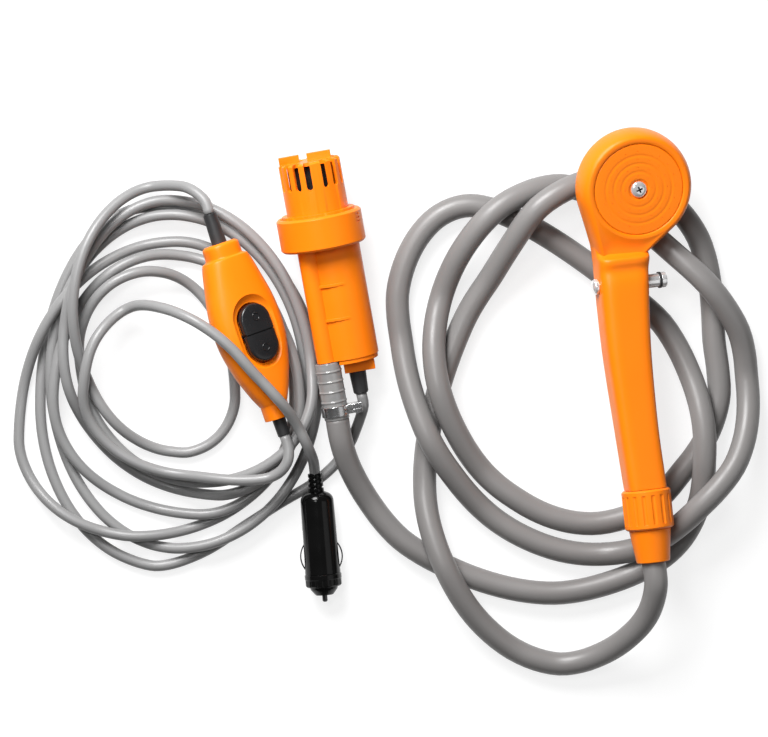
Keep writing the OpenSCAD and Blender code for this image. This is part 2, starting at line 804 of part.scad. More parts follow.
module switch_screws() {
    color(steel) at_switch() for (y = boss_at) translate([0, y, 0]) difference() {
        union() {
            rod(1.25, -switch_h + 1.6, 5);
            rod(2.6, -switch_h + 1.6, -switch_h + 3.55);
        }
        translate([-2, -0.4, -switch_h + 1]) cube([4, 0.8, 1.4]);
    }
}

module upper_relief() {
    r = gland_r - 0.5;
    color(black) at_switch() along_y() {
        rod(r, switch_len - relief_in + 0.1, switch_len);
        translate([0, 0, switch_len - 0.02])
            cylinder(r1 = r, r2 = cable_d / 2 + 0.7, h = upper_relief_len);
    }
}

module lower_relief() {
    r = gland_r - 1;
    color(black) at_switch() along_y() {
        rod(r, 0, relief_in - 0.1);
        translate([0, 0, -lower_relief_len])
            cylinder(r1 = cable_d / 2 + 0.5, r2 = r, h = lower_relief_len + 0.02);
    }
}

// Plug, from the cable end to the tip
plug_rear = plug_r - 0.65;
plug_bore = 6.2;
fuse_r = 3.1;
fuse_z = plug_len - 30;
fuse_len = 25;
neck_len = 5;
nose_len = 4.5;
tip_r = 1.45;
tip_out = 4;
tip_flange = 3;
nose_z = plug_len + ring_len;
relief_len = 10;
contact_w = 3.4;
contact_out = 2;
contact_z = plug_len - 13;
contact_bow = 24;
contact_t = 0.7;
contact_half = 11;
module plug_body() {
    neck_r = plug_r - 2.2;
    color(black) at_plug() difference() {
        rotate_extrude() polygon(concat([[0, 0], [4.4, 0]],
            arc([plug_rear - 5, 5.4], 5, -75, 0, 6),
            [[plug_r, plug_len - 2], [plug_r, plug_len], [neck_r, plug_len], [neck_r, plug_len + neck_len],
                [0, plug_len + neck_len]]));
        rod(plug_bore, fuse_z, plug_len + neck_len + 1);
        rod(fuse_r, fuse_z - 5, fuse_z + 1);
        for (side = [-1, 1]) translate([side * plug_r, 0, contact_z])
            cube([12, contact_w + 0.6, 2 * contact_half + 1], center = true);
    }
}

module plug_relief() {
    color(black) at_plug() difference() {
        translate([0, 0, -relief_len]) cylinder(r1 = cable_d / 2 + 0.9, r2 = 4.4, h = relief_len);
        for (k = [0:2]) translate([0, 0, -relief_len + 2 + 2.6 * k])
            tube(6, cable_d / 2 + 0.6, 0, 0.9);
    }
}

ring_notches = 16;
ring_band = 3;
module nose_ring() {
    neck_r = plug_r - 2.2;
    color(black) at_plug() difference() {
        rotate_extrude() polygon([
            [0, plug_len + 0.15], [ring_r - 0.5, plug_len + 0.15], [ring_r, plug_len + 0.7],
            [ring_r, plug_len + ring_band], [ring_r - 0.2, plug_len + ring_band + 0.2],
            [ring_r - 0.2, nose_z - 1], [ring_r - 0.8, nose_z - 0.2], [ring_r - 2.4, nose_z],
            [ring_r - 2.8, nose_z + 1.5], [5, nose_z + nose_len], [0, nose_z + nose_len]]);
        rod(neck_r + run_gap, plug_len - 1, plug_len + neck_len + 0.2);
        rod(tip_flange + 0.4, plug_len, nose_z + 1);
        rod(tip_r + run_gap, nose_z, nose_z + nose_len + 1);
        for (k = [0:ring_notches - 1]) rotate([0, 0, k * 360 / ring_notches])
            translate([ring_r + 0.3, 0, plug_len + ring_band + 0.4])
                cylinder(r = 0.8, h = ring_len, $fn = 16);
    }
}

module tip_contact() {
    end = nose_z + nose_len + tip_out;
    color(steel) at_plug() {
        rod(tip_flange, nose_z - 0.6, nose_z + 0.9);
        rod(tip_r, nose_z + 0.8, end - 0.6);
        translate([0, 0, end - 0.62]) cylinder(r1 = tip_r, r2 = tip_r - 0.6, h = 0.62);
    }
}

module tip_spring() {
    color(steel) at_plug() tube(2.6, 1.9, fuse_z - 4.9 + fuse_len, nose_z - 0.65);
}

module fuse() {
    color(clear_grey) at_plug() rod(fuse_r - 0.05, fuse_z - 4.95, fuse_z - 4.95 + fuse_len);
}

module side_contact(side) {
    centre = plug_r + contact_out - contact_bow;
    color(steel) at_plug() rotate([0, 0, side > 0 ? 0 : 180]) translate([0, contact_w / 2, contact_z])
        rotate([90, 0, 0]) linear_extrude(contact_w) intersection() {
            difference() {
                translate([centre, 0]) circle(r = contact_bow);
                translate([centre, 0]) circle(r = contact_bow - contact_t);
            }
            translate([0, -contact_half]) square([plug_r + 5, 2 * contact_half]);
        }
}
module side_contact_left() {
    side_contact(-1);
}
module side_contact_right() {
    side_contact(1);
}

// Tube along a path, with rings square to it and triangle faces
function unit(v) = v / norm(v);
function path_side(d) = unit(cross(d, [0, 0, 1]));
module cord_tube(path, d, sides) {
    n = len(path) - 1;
    loft([for (i = [0:n]) let (
        along = unit(path[min(i + 1, n)] - path[max(i - 1, 0)]),
        across = path_side(along),
        up = cross(across, along))
        [for (k = [0:sides - 1]) let (a = k * 360 / sides)
            path[i] + d / 2 * (cos(a) * across + sin(a) * up)]]);
}
// Least gap of a cord to itself, measured on the points of its path
function self_gap(path, d, apart) = min([for (i = [0:len(path) - 1])
    for (j = [i + apart:1:len(path) - 1]) norm(path[i] - path[j])]) - d;
// Place of a point on the floor
function flat(p) = [p.x, p.y];
// Length along a path up to each of its points
function path_steps(path) = [for (i = 0, s = 0; i < len(path);
    s = s + (i < len(path) - 1 ? norm(path[i + 1] - path[i]) : 0), i = i + 1) s];

// Hump with a smooth top and foot, no tighter than the bend radius
function hump(lift, distance, bend) = lift <= 0 ? 0 : let (half = PI * sqrt(lift * bend / 2))
    lift * (1 + cos(180 * min(1, abs(distance) / half))) / 2;

// Routes are read on the photo, and this step brings them to the middle of the pump and handset
photo_at = [1.3, -1.9];
function from_photo(places) = [for (p = places) len(p) == 2 ? p + photo_at : p + [photo_at.x, photo_at.y, 0]];

// Hose route on the floor from the pump to the handset
hose_plan = from_photo([
    [-74, -67], [-63, -87], [-46, -107], [-21, -122], [9, -133], [39, -137], [67, -132], [93, -121],
    [110, -106], [119, -85], [121, -62], [120, -39], [113, -14], [98, 13], [73, 34], [41, 57], [14, 72],
    [-8, 78], [-27, 71], [-41, 53], [-48, 29], [-46, 4], [-41, -22], [-31, -49], [-18, -70], [-2, -89],
    [17, -103], [42, -113], [69, -115], [95, -107], [118, -87], [137, -65], [145, -41], [145, -16],
    [140, 9], [124, 33], [105, 51], [85, 68], [64, 82], [42, 89], [20, 84], [2, 72], [-14, 51],
    [-24, 27], [-28, 2], [-25, -23], [-15, -48], [-1, -69], [17, -84], [39, -95], [64, -98], [91, -89],
    [109, -70], [123, -50], [130, -26], [127, 3], [125, 32], [118, 60], [100, 82], [74, 93], [51, 90],
    [30, 78], [17, 61], [3, 38], [-10, 17], [-23, -16], [-31, -50], [-33, -77], [-30, -99], [-21, -123],
    [-6, -148], [16, -168], [42, -178], [67, -172], [84, -160], [93, -146]]);
// Where the hose lies over itself: place in the list above, lift in hose diameters
hose_over = [[10.4, 1.12], [23, 1.08], [30.3, 1.72], [35.2, 1.24], [41, 1.08], [45, 1.08], [60.9, 1.5],
    [69, 1.08]];
hose_bend = 4 * hose_d;
hose_parts = 2;
hose_start = pump_point([-channel_off, 0, -cuff_len]);
hose_start_out = pump_point([-channel_off, 0, -cuff_len - hose_d]);
hose_end = handset_point([0, 0, 0]);
hose_end_out = handset_point([0, -hose_d, 0]);
function hose_path() = let (
    plan = concat([flat(hose_start)], hose_plan, [flat(hose_end)]),
    s = path_steps(plan),
    last = len(plan) - 1,
    place = [for (i = [0:last]) [i, s[i]]],
    floor_z = hose_d / 2,
    laid = [for (i = [1:last - 1]) [plan[i].x, plan[i].y, floor_z
        + hump(hose_start.z - floor_z, s[i], hose_bend)
        + hump(hose_end.z - floor_z, s[last] - s[i], hose_bend)
        + sum([for (o = hose_over) hump(o[1] * hose_d, s[i] - lookup(o[0] + 1, place), hose_bend)])]])
    [for (p = spline(concat([hose_start, hose_start_out], laid, [hose_end_out, hose_end]), hose_parts))
        [p.x, p.y, max(p.z, floor_z)]];
function sum(v) = [for (x = v) 1] * v;

module hose() {
    path = hose_path();
    steps = path_steps(path);
    echo(hose_length = steps[len(steps) - 1], hose_gap = self_gap(path, hose_d, 6));
    color(grey) cord_tube(path, hose_d, 8);
}

// Cable turns: bottom, left, top and right places of each turn, joined by quarter ellipses
cable_turns = from_photo([
    [-178, -122], [-246, -33], [-185, 77], [-92, -22],
    [-171, -112], [-240, -16], [-173, 73], [-99, -20],
    [-190, -105], [-258, -50], [-171, 58], [-105, -28],
    [-158, -93], [-238, -30], [-177, 51], [-102, -29],
    [-149, -82], [-232, -2], [-174, 81], [-95, -23],
    [-158, -75], [-224, -2], [-184, 42], [-138, -27],
    [-168, -59], [-226, 20], [-178, 89]]);
quarter_parts = 6;
// Even quarters start level, as at the bottom and top, and odd ones start upright
function quarter(a, b, level, t) = level
    ? [a.x + (b.x - a.x) * sin(t), a.y + (b.y - a.y) * (1 - cos(t))]
    : [a.x + (b.x - a.x) * (1 - cos(t)), a.y + (b.y - a.y) * sin(t)];
function turns_path(places) = concat([for (k = [0:len(places) - 2]) for (i = [0:quarter_parts - 1])
    quarter(places[k], places[k + 1], k % 2 == 0, 90 * i / quarter_parts)], [places[len(places) - 1]]);

// Cable from the pump to its first turn, and from its last turn to the switch
pump_tail = from_photo([[-70, -43], [-75, -55], [-83, -66], [-96, -77], [-113, -87], [-133, -100],
    [-155, -114]]);
switch_tail = from_photo([[-163, 88]]);
// Cable from the switch to the plug: first to its one bend at the left, then over the switch
plug_cable_start = from_photo([[-114, -52], [-120, -60], [-135, -68]]);
plug_cable_turn = from_photo([[-158, -71], [-221, -26]]);
plug_cable_end = from_photo([[-217, -2], [-207, 14], [-193, 22], [-177, 20], [-162, 14], [-149, 7],
    [-140, -4], [-129, -15], [-119, -25], [-109, -35], [-100, -48], [-95, -60]]);
// Where the plug cable passes over the switch
plug_cable_over = from_photo([[-151, 8, 44.5], [-143, 2, 46], [-136, -8, 45.5], [-122, -22, 43]]);

cable_r = cable_d / 2;
cable_step = 7;
cable_ahead = 7;
cable_bend = 4 * cable_d;
lay_d = cable_d + strand_gap;
gland_out = pump_flat_point([gland_u, 0, gland_end]);
gland_on = pump_flat_point([gland_u, 0, gland_end - cable_step]);
upper_out = switch_point([0, switch_len + upper_relief_len, 0]);
upper_on = switch_point([0, switch_len + upper_relief_len + cable_step, 0]);
lower_out = switch_point([0, -lower_relief_len, 0]);
lower_on = switch_point([0, -lower_relief_len - cable_step, 0]);
plug_out = plug_point([0, 0, -relief_len]);
plug_on = plug_point([0, 0, -relief_len - cable_step]);

// Points at even steps along a flat path
function even_steps(path, step) = let (
    s = path_steps(path),
    total = s[len(s) - 1],
    n = round(total / step),
    xs = [for (i = [0:len(path) - 1]) [s[i], path[i].x]],
    ys = [for (i = [0:len(path) - 1]) [s[i], path[i].y]])
    [for (k = [0:n]) [lookup(total * k / n, xs), lookup(total * k / n, ys)]];

// Height at which a strand over place q rests on the stretch from a to b
function rest_on(q, a, b) = abs(q.x - a.x) > 16 || abs(q.y - a.y) > 16 ? 0 : let (
    ab = flat(b - a),
    t = max(0, min(1, (q - flat(a)) * ab / (ab * ab))),
    d = norm(q - flat(a) - t * ab))
    d < lay_d ? a.z + t * (b.z - a.z) + sqrt(lay_d * lay_d - d * d) : 0;
function rest_height(plan, k, strands) = let (
    before = (plan[max(k - 1, 0)] + plan[k]) / 2,
    after = (plan[min(k + 1, len(plan) - 1)] + plan[k]) / 2)
    max([cable_r, for (strand = strands) for (j = [0:1:len(strand) - 2]) for (q = [before, plan[k], after])
        rest_on(q, strand[j], strand[j + 1])]);

// Heights of a cable laid from its start: each point rides over the strands laid before it
function lay(plan, below, over, z, rest) = let (i = len(z), n = len(plan), k = i + cable_ahead)
    i == n ? z : let (
        laid = [for (j = [0:1:i - 1]) [plan[j].x, plan[j].y, z[j]]],
        next = k < n ? concat(rest, [rest_height(plan, k, [below, laid])]) : rest,
        here = max([for (m = [max(0, i - cable_ahead):min(n - 1, k)])
            hump(next[m] - cable_r, (m - i) * cable_step, cable_bend)]),
        lifted = max([for (o = over) hump(o[1] - cable_r, (o[0] - i) * cable_step, cable_bend)]))
        lay(plan, below, over, concat(z, [cable_r + max(here, lifted)]), next);
function nearest(plan, p) = let (d = [for (q = plan) norm(q - flat(p))]) search(min(d), d)[0];
function soften(z) = [for (i = [0:len(z) - 1]) i == 0 || i == len(z) - 1 ? z[i]
    : (z[i - 1] + 2 * z[i] + z[i + 1]) / 4];
function laid_path(plan, below, over) = let (
    lifts = [for (p = over) [nearest(plan, p), p.z]],
    first = [for (k = [0:cable_ahead - 1]) rest_height(plan, k, [below])],
    z = soften(lay(plan, below, lifts, [], first)))
    [for (i = [0:len(plan) - 1]) [plan[i].x, plan[i].y, z[i]]];

function cable_pump_path() = let (
    plan = concat([flat(gland_out), flat(gland_on)], pump_tail, turns_path(cable_turns), switch_tail,
        [flat(upper_on), flat(upper_out)]))
    laid_path(even_steps(spline(plan, 4), cable_step), [], [gland_out, upper_out]);
function cable_plug_path() = let (
    plan = concat([flat(lower_out), flat(lower_on)], plug_cable_start, turns_path(plug_cable_turn),
        plug_cable_end, [flat(plug_on), flat(plug_out)]))
    laid_path(even_steps(spline(plan, 4), cable_step), cable_pump_path(),
        concat([lower_out], plug_cable_over, [plug_out]));

module cable_pump() {
    path = cable_pump_path();
    echo(pump_cable_length = (len(path) - 1) * cable_step, pump_cable_gap = self_gap(path, cable_d, 9));
    color(grey) cord_tube(path, cable_d, 6);
}
module cable_plug() {
    path = cable_plug_path();
    echo(plug_cable_length = (len(path) - 1) * cable_step, plug_cable_gap = self_gap(path, cable_d, 9));
    color(grey) cord_tube(path, cable_d, 6);
}

motor_body();
end_cap();
motor_can();
magnets();
armature();
rotor_shaft();
bearings();
shaft_seal();
impeller();
chamber_gasket();
collar();
suction_plate();
strainer_cage();
intake_filter();
pump_gland();
hose_barb();
hose_cuff();
clamp_band();
clamp_housing();
clamp_screw();
handset_body();
spray_plate();
plate_seal();
plate_screw();
valve_spool();
spool_rings();
coupling_nut();
hose_sleeve();
hose_tail();
hose_washer();
switch_upper();
switch_lower();
rocker();
rocker_pin();
switch_base();
terminals();
switch_screws();
upper_relief();
lower_relief();
plug_body();
plug_relief();
nose_ring();
tip_contact();
tip_spring();
fuse();
side_contact_left();
side_contact_right();
hose();
cable_pump();
cable_plug();
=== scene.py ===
import json
import math
import bmesh
import bpy
from mathutils import Matrix, Vector

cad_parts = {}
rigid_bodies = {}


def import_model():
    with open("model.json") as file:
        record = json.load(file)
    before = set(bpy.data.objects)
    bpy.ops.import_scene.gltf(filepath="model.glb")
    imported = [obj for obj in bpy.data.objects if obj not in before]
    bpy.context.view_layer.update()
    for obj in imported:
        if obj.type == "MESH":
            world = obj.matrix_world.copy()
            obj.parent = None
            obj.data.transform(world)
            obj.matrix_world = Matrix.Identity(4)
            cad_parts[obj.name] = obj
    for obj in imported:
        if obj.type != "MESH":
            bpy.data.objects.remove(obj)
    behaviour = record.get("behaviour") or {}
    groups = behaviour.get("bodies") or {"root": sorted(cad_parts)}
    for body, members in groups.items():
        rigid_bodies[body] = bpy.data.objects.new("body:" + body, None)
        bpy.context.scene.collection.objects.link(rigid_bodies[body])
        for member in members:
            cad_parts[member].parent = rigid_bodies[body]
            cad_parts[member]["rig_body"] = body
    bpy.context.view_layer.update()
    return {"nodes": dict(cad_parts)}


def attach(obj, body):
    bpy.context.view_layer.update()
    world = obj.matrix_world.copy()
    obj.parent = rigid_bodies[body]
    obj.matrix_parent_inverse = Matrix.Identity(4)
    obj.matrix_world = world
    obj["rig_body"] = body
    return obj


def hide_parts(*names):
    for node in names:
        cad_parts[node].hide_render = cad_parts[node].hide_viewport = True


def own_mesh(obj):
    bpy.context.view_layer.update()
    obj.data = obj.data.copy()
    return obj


# camp shower pump kit: pump, hose, handset, inline switch, cable and plug, in metres
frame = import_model()
nodes = frame["nodes"]
weld = 1e-6  # points nearer than this are one
print("frame:", len(nodes), "solids")


# places of the four rigid groups, as in the solids
pumpSpec = {
    "at": (-0.0727, -0.0064), "lean": 10, "roll": 35,
    "bodyR": 0.01575, "bodyLen": 0.0625, "channelOff": 0.016, "collarR": 0.0235, "collarOff": 0.0045,
    "cuffLen": 0.032, "glandShift": 0.0023, "glandEnd": -0.0215,
}
handsetSpec = {"at": (0.0933, -0.1182, 0.0375), "lean": 6.3, "pitch": -2, "roll": 13}
switchSpec = {
    "at": (-0.1121, -0.0400, 0.0272), "lean": 18.6, "roll": 30,
    "length": 0.101, "upperRelief": 0.017, "lowerRelief": 0.010,
}
plugSpec = {"at": (-0.0917, -0.0819, 0.01025), "lean": 4.6, "relief": 0.010}


def turn(axis, degrees):
    return Matrix.Rotation(math.radians(degrees), 4, axis)


def pumpMatrices(spec):
    rise = spec["collarR"] - spec["collarOff"] * math.sin(math.radians(spec["roll"])) - spec["bodyR"]
    tilt = math.degrees(math.atan(rise / spec["bodyLen"]))
    height = spec["bodyR"] * math.cos(math.radians(tilt))
    flat = Matrix.Translation((*spec["at"], height)) @ turn("Z", spec["lean"]) @ turn("X", tilt - 90)
    return flat, flat @ turn("Z", spec["roll"])


pumpFlat, pumpPlace = pumpMatrices(pumpSpec)
handsetPlace = (Matrix.Translation(handsetSpec["at"]) @ turn("Z", handsetSpec["lean"])
                @ turn("X", handsetSpec["pitch"]) @ turn("Y", handsetSpec["roll"]))
switchPlace = (Matrix.Translation(switchSpec["at"]) @ turn("Z", switchSpec["lean"])
               @ turn("Y", switchSpec["roll"]))
plugPlace = Matrix.Translation(plugSpec["at"]) @ turn("Z", plugSpec["lean"]) @ turn("X", 90)


cameraSpec = {
    "aim": (-0.0542, -0.0144, 0.0), "setBack": 0.14, "height": 2.4, "fieldWidth": 0.426, "sensor": 36,
    "clipStart": 0.01,
}


def makeCamera(spec):
    data = bpy.data.cameras.new("photoCamera")
    camera = bpy.data.objects.new("photoCamera", data)
    bpy.context.scene.collection.objects.link(camera)
    aim = Vector(spec["aim"])
    camera.location = aim + Vector((0, spec["setBack"], spec["height"]))
    sight = aim - camera.location
    back = -sight.normalized()
    across = Vector((0, 1, 0)).cross(back).normalized()
    camera.rotation_euler = Matrix((across, back.cross(across), back)).transposed().to_euler()
    data.sensor_width = spec["sensor"]
    data.lens = data.sensor_width * sight.length / spec["fieldWidth"]
    data.clip_start = spec["clipStart"]
    bpy.context.scene.camera = camera


makeCamera(cameraSpec)
print("camera set")


routeStep = Vector((0.0013, -0.0019, 0))


def fromPhoto(places):
    return [Vector(p) + (routeStep if len(p) == 3 else routeStep.xy) for p in places]


# curves that the cords share
def between(a, b, c, d, t):  # Catmull-Rom from b to c
    bow = 2 * a - 5 * b + 4 * c - d
    return 0.5 * (2 * b + t * (c - a) + t * t * bow + t ** 3 * (3 * b - a - 3 * c + d))


def smoothThrough(points, parts):  # a curve through every point
    points = [Vector(p) for p in points]
    points = [2 * points[0] - points[1]] + points + [2 * points[-1] - points[-2]]
    made = [between(*points[i:i + 4], k / parts) for i in range(len(points) - 3) for k in range(parts)]
    return made + [points[-2]]


def smoothRows(rows, parts):  # the same for rows of plain numbers, column by column
    first = tuple(2 * p - q for p, q in zip(rows[0], rows[1]))
    final = tuple(2 * p - q for p, q in zip(rows[-1], rows[-2]))
    rows = [first, *rows, final]
    made = [tuple(between(*column, k / parts) for column in zip(*rows[i:i + 4]))
            for i in range(len(rows) - 3) for k in range(parts)]
    return made + [rows[-2]]


def distances(points):
    steps = [0.0]
    for a, b in zip(points, points[1:]):
        steps.append(steps[-1] + (b - a).length)
    return steps


def lookUp(value, keys, results):
    for k in range(1, len(keys)):
        if value <= keys[k]:
            share = (value - keys[k - 1]) / (keys[k] - keys[k - 1])
            return results[k - 1] + (results[k] - results[k - 1]) * share
    return results[-1]


def evenSteps(points, step):
    along = distances(points)
    count = round(along[-1] / step)
    return [lookUp(along[-1] * k / count, along, points) for k in range(count + 1)]


def hump(lift, distance, bend):  # smooth top and foot, no tighter than the bend radius
    if lift <= 0:
        return 0.0
    half = math.pi * math.sqrt(lift * bend / 2)
    return lift * (1 + math.cos(math.pi * min(1, abs(distance) / half))) / 2


def flat(place):
    return Vector((place[0], place[1]))


def smoothFaces(shape):
    bmesh.ops.recalc_face_normals(shape, faces=shape.faces)
    for face in shape.faces:
        face.smooth = True


def makeObject(name, shape):  # a finished bmesh becomes an object at the origin
    mesh = bpy.data.meshes.new(name)
    shape.to_mesh(mesh)
    shape.free()
    piece = bpy.data.objects.new(name, mesh)
    bpy.context.scene.collection.objects.link(piece)
    return piece


def makeTube(name, path, radius, roundness):
    line = bpy.data.curves.new(name + "Line", "CURVE")
    line.dimensions = "3D"
    line.bevel_depth = radius
    line.bevel_resolution = roundness
    line.use_fill_caps = True
    spline = line.splines.new("POLY")
    spline.points.add(len(path) - 1)
    for point, place in zip(spline.points, path):
        point.co = (*place, 1)
    holder = bpy.data.objects.new(name + "Line", line)
    mesh = bpy.data.meshes.new_from_object(holder)
    shape = bmesh.new()
    shape.from_mesh(mesh)
    bmesh.ops.remove_doubles(shape, verts=shape.verts, dist=weld)
    smoothFaces(shape)
    bpy.data.objects.remove(holder)
    bpy.data.curves.remove(line)
    bpy.data.meshes.remove(mesh)
    return makeObject(name, shape)


# hose from the pump to the handset: its plan on the floor, and where it lies over itself
hoseSpec = {
    "diameter": 0.013, "bend": 4, "parts": 2, "smooth": 3, "roundness": 12,  # bend radius in diameters
    "plan": [
        (-0.074, -0.067), (-0.063, -0.087), (-0.046, -0.107), (-0.021, -0.122), (0.009, -0.133),
        (0.039, -0.137), (0.067, -0.132), (0.093, -0.121), (0.11, -0.106), (0.119, -0.085),
        (0.121, -0.062), (0.12, -0.039), (0.113, -0.014), (0.098, 0.013), (0.073, 0.034),
        (0.041, 0.057), (0.014, 0.072), (-0.008, 0.078), (-0.027, 0.071), (-0.041, 0.053),
        (-0.048, 0.029), (-0.046, 0.004), (-0.041, -0.022), (-0.031, -0.049), (-0.018, -0.07),
        (-0.002, -0.089), (0.017, -0.103), (0.042, -0.113), (0.069, -0.115), (0.095, -0.107),
        (0.118, -0.087), (0.137, -0.065), (0.145, -0.041), (0.145, -0.016), (0.14, 0.009),
        (0.124, 0.033), (0.105, 0.051), (0.085, 0.068), (0.064, 0.082), (0.042, 0.089),
        (0.02, 0.084), (0.002, 0.072), (-0.014, 0.051), (-0.024, 0.027), (-0.028, 0.002),
        (-0.025, -0.023), (-0.015, -0.048), (-0.001, -0.069), (0.017, -0.084), (0.039, -0.095),
        (0.064, -0.098), (0.091, -0.089), (0.109, -0.07), (0.123, -0.05), (0.13, -0.026),
        (0.127, 0.003), (0.125, 0.032), (0.118, 0.06), (0.1, 0.082), (0.074, 0.093),
        (0.051, 0.09), (0.03, 0.078), (0.017, 0.061), (0.003, 0.038), (-0.01, 0.017),
        (-0.023, -0.016), (-0.031, -0.05), (-0.033, -0.077), (-0.03, -0.099), (-0.021, -0.123),
        (-0.006, -0.148), (0.016, -0.168), (0.042, -0.1765), (0.0645, -0.1705), (0.0805, -0.1585),
        (0.09, -0.145)],
    "over": [
        (10.4, 1.12), (23, 1.08), (30.3, 1.72), (35.2, 1.24), (41, 1.08), (45, 1.08),
        (60.9, 1.5), (69, 1.08)],
}


def hosePath(spec):
    d = spec["diameter"]
    floorZ, bend = d / 2, spec["bend"] * d
    start = pumpPlace @ Vector((-pumpSpec["channelOff"], 0, -pumpSpec["cuffLen"]))
    startOut = pumpPlace @ Vector((-pumpSpec["channelOff"], 0, -pumpSpec["cuffLen"] - d))
    end = handsetPlace @ Vector((0, 0, 0))
    endOut = handsetPlace @ Vector((0, -d, 0))
    plan = [flat(start)] + fromPhoto(spec["plan"]) + [flat(end)]
    along = distances(plan)
    last = len(plan) - 1
    laid = []
    for i in range(1, last):
        z = floorZ + hump(start.z - floorZ, along[i], bend)
        z += hump(end.z - floorZ, along[last] - along[i], bend)
        for place, lift in spec["over"]:
            z += hump(lift * d, along[i] - lookUp(place + 1, list(range(last + 1)), along), bend)
        laid.append(Vector((plan[i].x, plan[i].y, z)))
    path = smoothThrough([start, startOut] + laid + [endOut, end], spec["parts"])
    path = [Vector((p.x, p.y, max(p.z, floorZ))) for p in path]
    return smoothThrough(path, spec["smooth"])


# cables: turns given by their bottom, left, top and right places, then laid strand over strand
cableSpec = {
    "diameter": 0.006, "bend": 4, "step": 0.007, "ahead": 7, "gap": 0.001, "window": 0.016,
    "endReach": 0.021, "planParts": 4, "quarterParts": 6, "smooth": 3, "roundness": 8,
    "turns": [
        (-0.178, -0.122), (-0.246, -0.033), (-0.185, 0.077), (-0.092, -0.022), (-0.171, -0.112),
        (-0.24, -0.016), (-0.173, 0.073), (-0.099, -0.02), (-0.19, -0.105), (-0.258, -0.05),
        (-0.171, 0.058), (-0.105, -0.028), (-0.158, -0.093), (-0.238, -0.03), (-0.177, 0.051),
        (-0.102, -0.029), (-0.149, -0.082), (-0.232, -0.002), (-0.174, 0.081), (-0.095, -0.023),
        (-0.158, -0.075), (-0.224, -0.002), (-0.184, 0.042), (-0.138, -0.027), (-0.168, -0.059),
        (-0.226, 0.02), (-0.178, 0.089)],
    "pumpTail": [
        (-0.07, -0.043), (-0.075, -0.055), (-0.083, -0.066), (-0.096, -0.077), (-0.113, -0.087),
        (-0.133, -0.1), (-0.155, -0.114)],
    "switchTail": [(-0.163, 0.088)],
    "plugStart": [
        (-0.1078, -0.0595), (-0.11, -0.065), (-0.115, -0.0693), (-0.122, -0.0718), (-0.137, -0.0725)],
    "plugTurn": [(-0.158, -0.071), (-0.221, -0.026)],
    "plugEnd": [
        (-0.217, -0.002), (-0.207, 0.014), (-0.193, 0.023), (-0.177, 0.0225), (-0.162, 0.0175),
        (-0.149, 0.0098), (-0.138, 0.0005), (-0.1272, -0.0118), (-0.1172, -0.0225), (-0.1078, -0.034),
        (-0.1, -0.048), (-0.095, -0.06)],
    "plugOver": [
        (-0.151, 0.011, 0.0445), (-0.142, 0.004, 0.046), (-0.134, -0.004, 0.0455),
        (-0.1205, -0.019, 0.043)],
}


def quarter(a, b, level, share):  # quarter of an ellipse, from a level or an upright start
    s, c = math.sin(share * math.pi / 2), math.cos(share * math.pi / 2)
    across, up = (s, 1 - c) if level else (1 - c, s)
    return Vector((a.x + (b.x - a.x) * across, a.y + (b.y - a.y) * up))


def turnsPath(places, parts):
    places = fromPhoto(places)
    made = [quarter(places[k], places[k + 1], k % 2 == 0, i / parts)
            for k in range(len(places) - 1) for i in range(parts)]
    return made + [places[-1]]


def restHeight(plan, k, strands, spec):  # height at which point k rests on the strands below it
    reach = spec["diameter"] + spec["gap"]
    before = (plan[max(k - 1, 0)] + plan[k]) / 2
    after = (plan[min(k + 1, len(plan) - 1)] + plan[k]) / 2
    best = spec["diameter"] / 2
    for strand in strands:
        for a, b in zip(strand, strand[1:]):
            for q in (before, plan[k], after):
                if max(abs(q.x - a.x), abs(q.y - a.y)) > spec["window"]:
                    continue
                ab = flat(b) - flat(a)
                t = max(0, min(1, (q - flat(a)).dot(ab) / ab.dot(ab)))
                d = (q - flat(a) - t * ab).length
                if d < reach:
                    best = max(best, a.z + t * (b.z - a.z) + math.sqrt(reach * reach - d * d))
    return best


def laidPath(plan, below, over, spec):
    plan = evenSteps(smoothThrough(plan, spec["planParts"]), spec["step"])
    count, ahead, low = len(plan), spec["ahead"], spec["diameter"] / 2
    bend = spec["bend"] * spec["diameter"]
    lifts = [(min(range(count), key=lambda i: (plan[i] - flat(p)).length), p[2]) for p in over]
    rest = [restHeight(plan, k, [below], spec) for k in range(ahead)]
    laid = []
    for i in range(count):
        k = i + ahead
        if k < count:
            rest.append(restHeight(plan, k, [below, laid], spec))
        near = range(max(0, i - ahead), min(count - 1, k) + 1)
        z = max(hump(rest[m] - low, (m - i) * spec["step"], bend) for m in near)
        z = max([z] + [hump(lift - low, (place - i) * spec["step"], bend) for place, lift in lifts])
        laid.append(Vector((plan[i].x, plan[i].y, low + z)))
    heights = [p.z for p in laid]
    for i in range(1, count - 1):
        laid[i].z = (heights[i - 1] + 2 * heights[i] + heights[i + 1]) / 4
    return laid


def meetEnds(path, start, end, spec):  # both ends come to the height of the reliefs that hold them
    for run, place in ((path, start), (path[::-1], end)):
        excess = run[0].z - place.z
        for i, point in enumerate(run):
            share = min(1, i * spec["step"] / spec["endReach"])
            point.z -= excess * (1 + math.cos(math.pi * share)) / 2
    return path


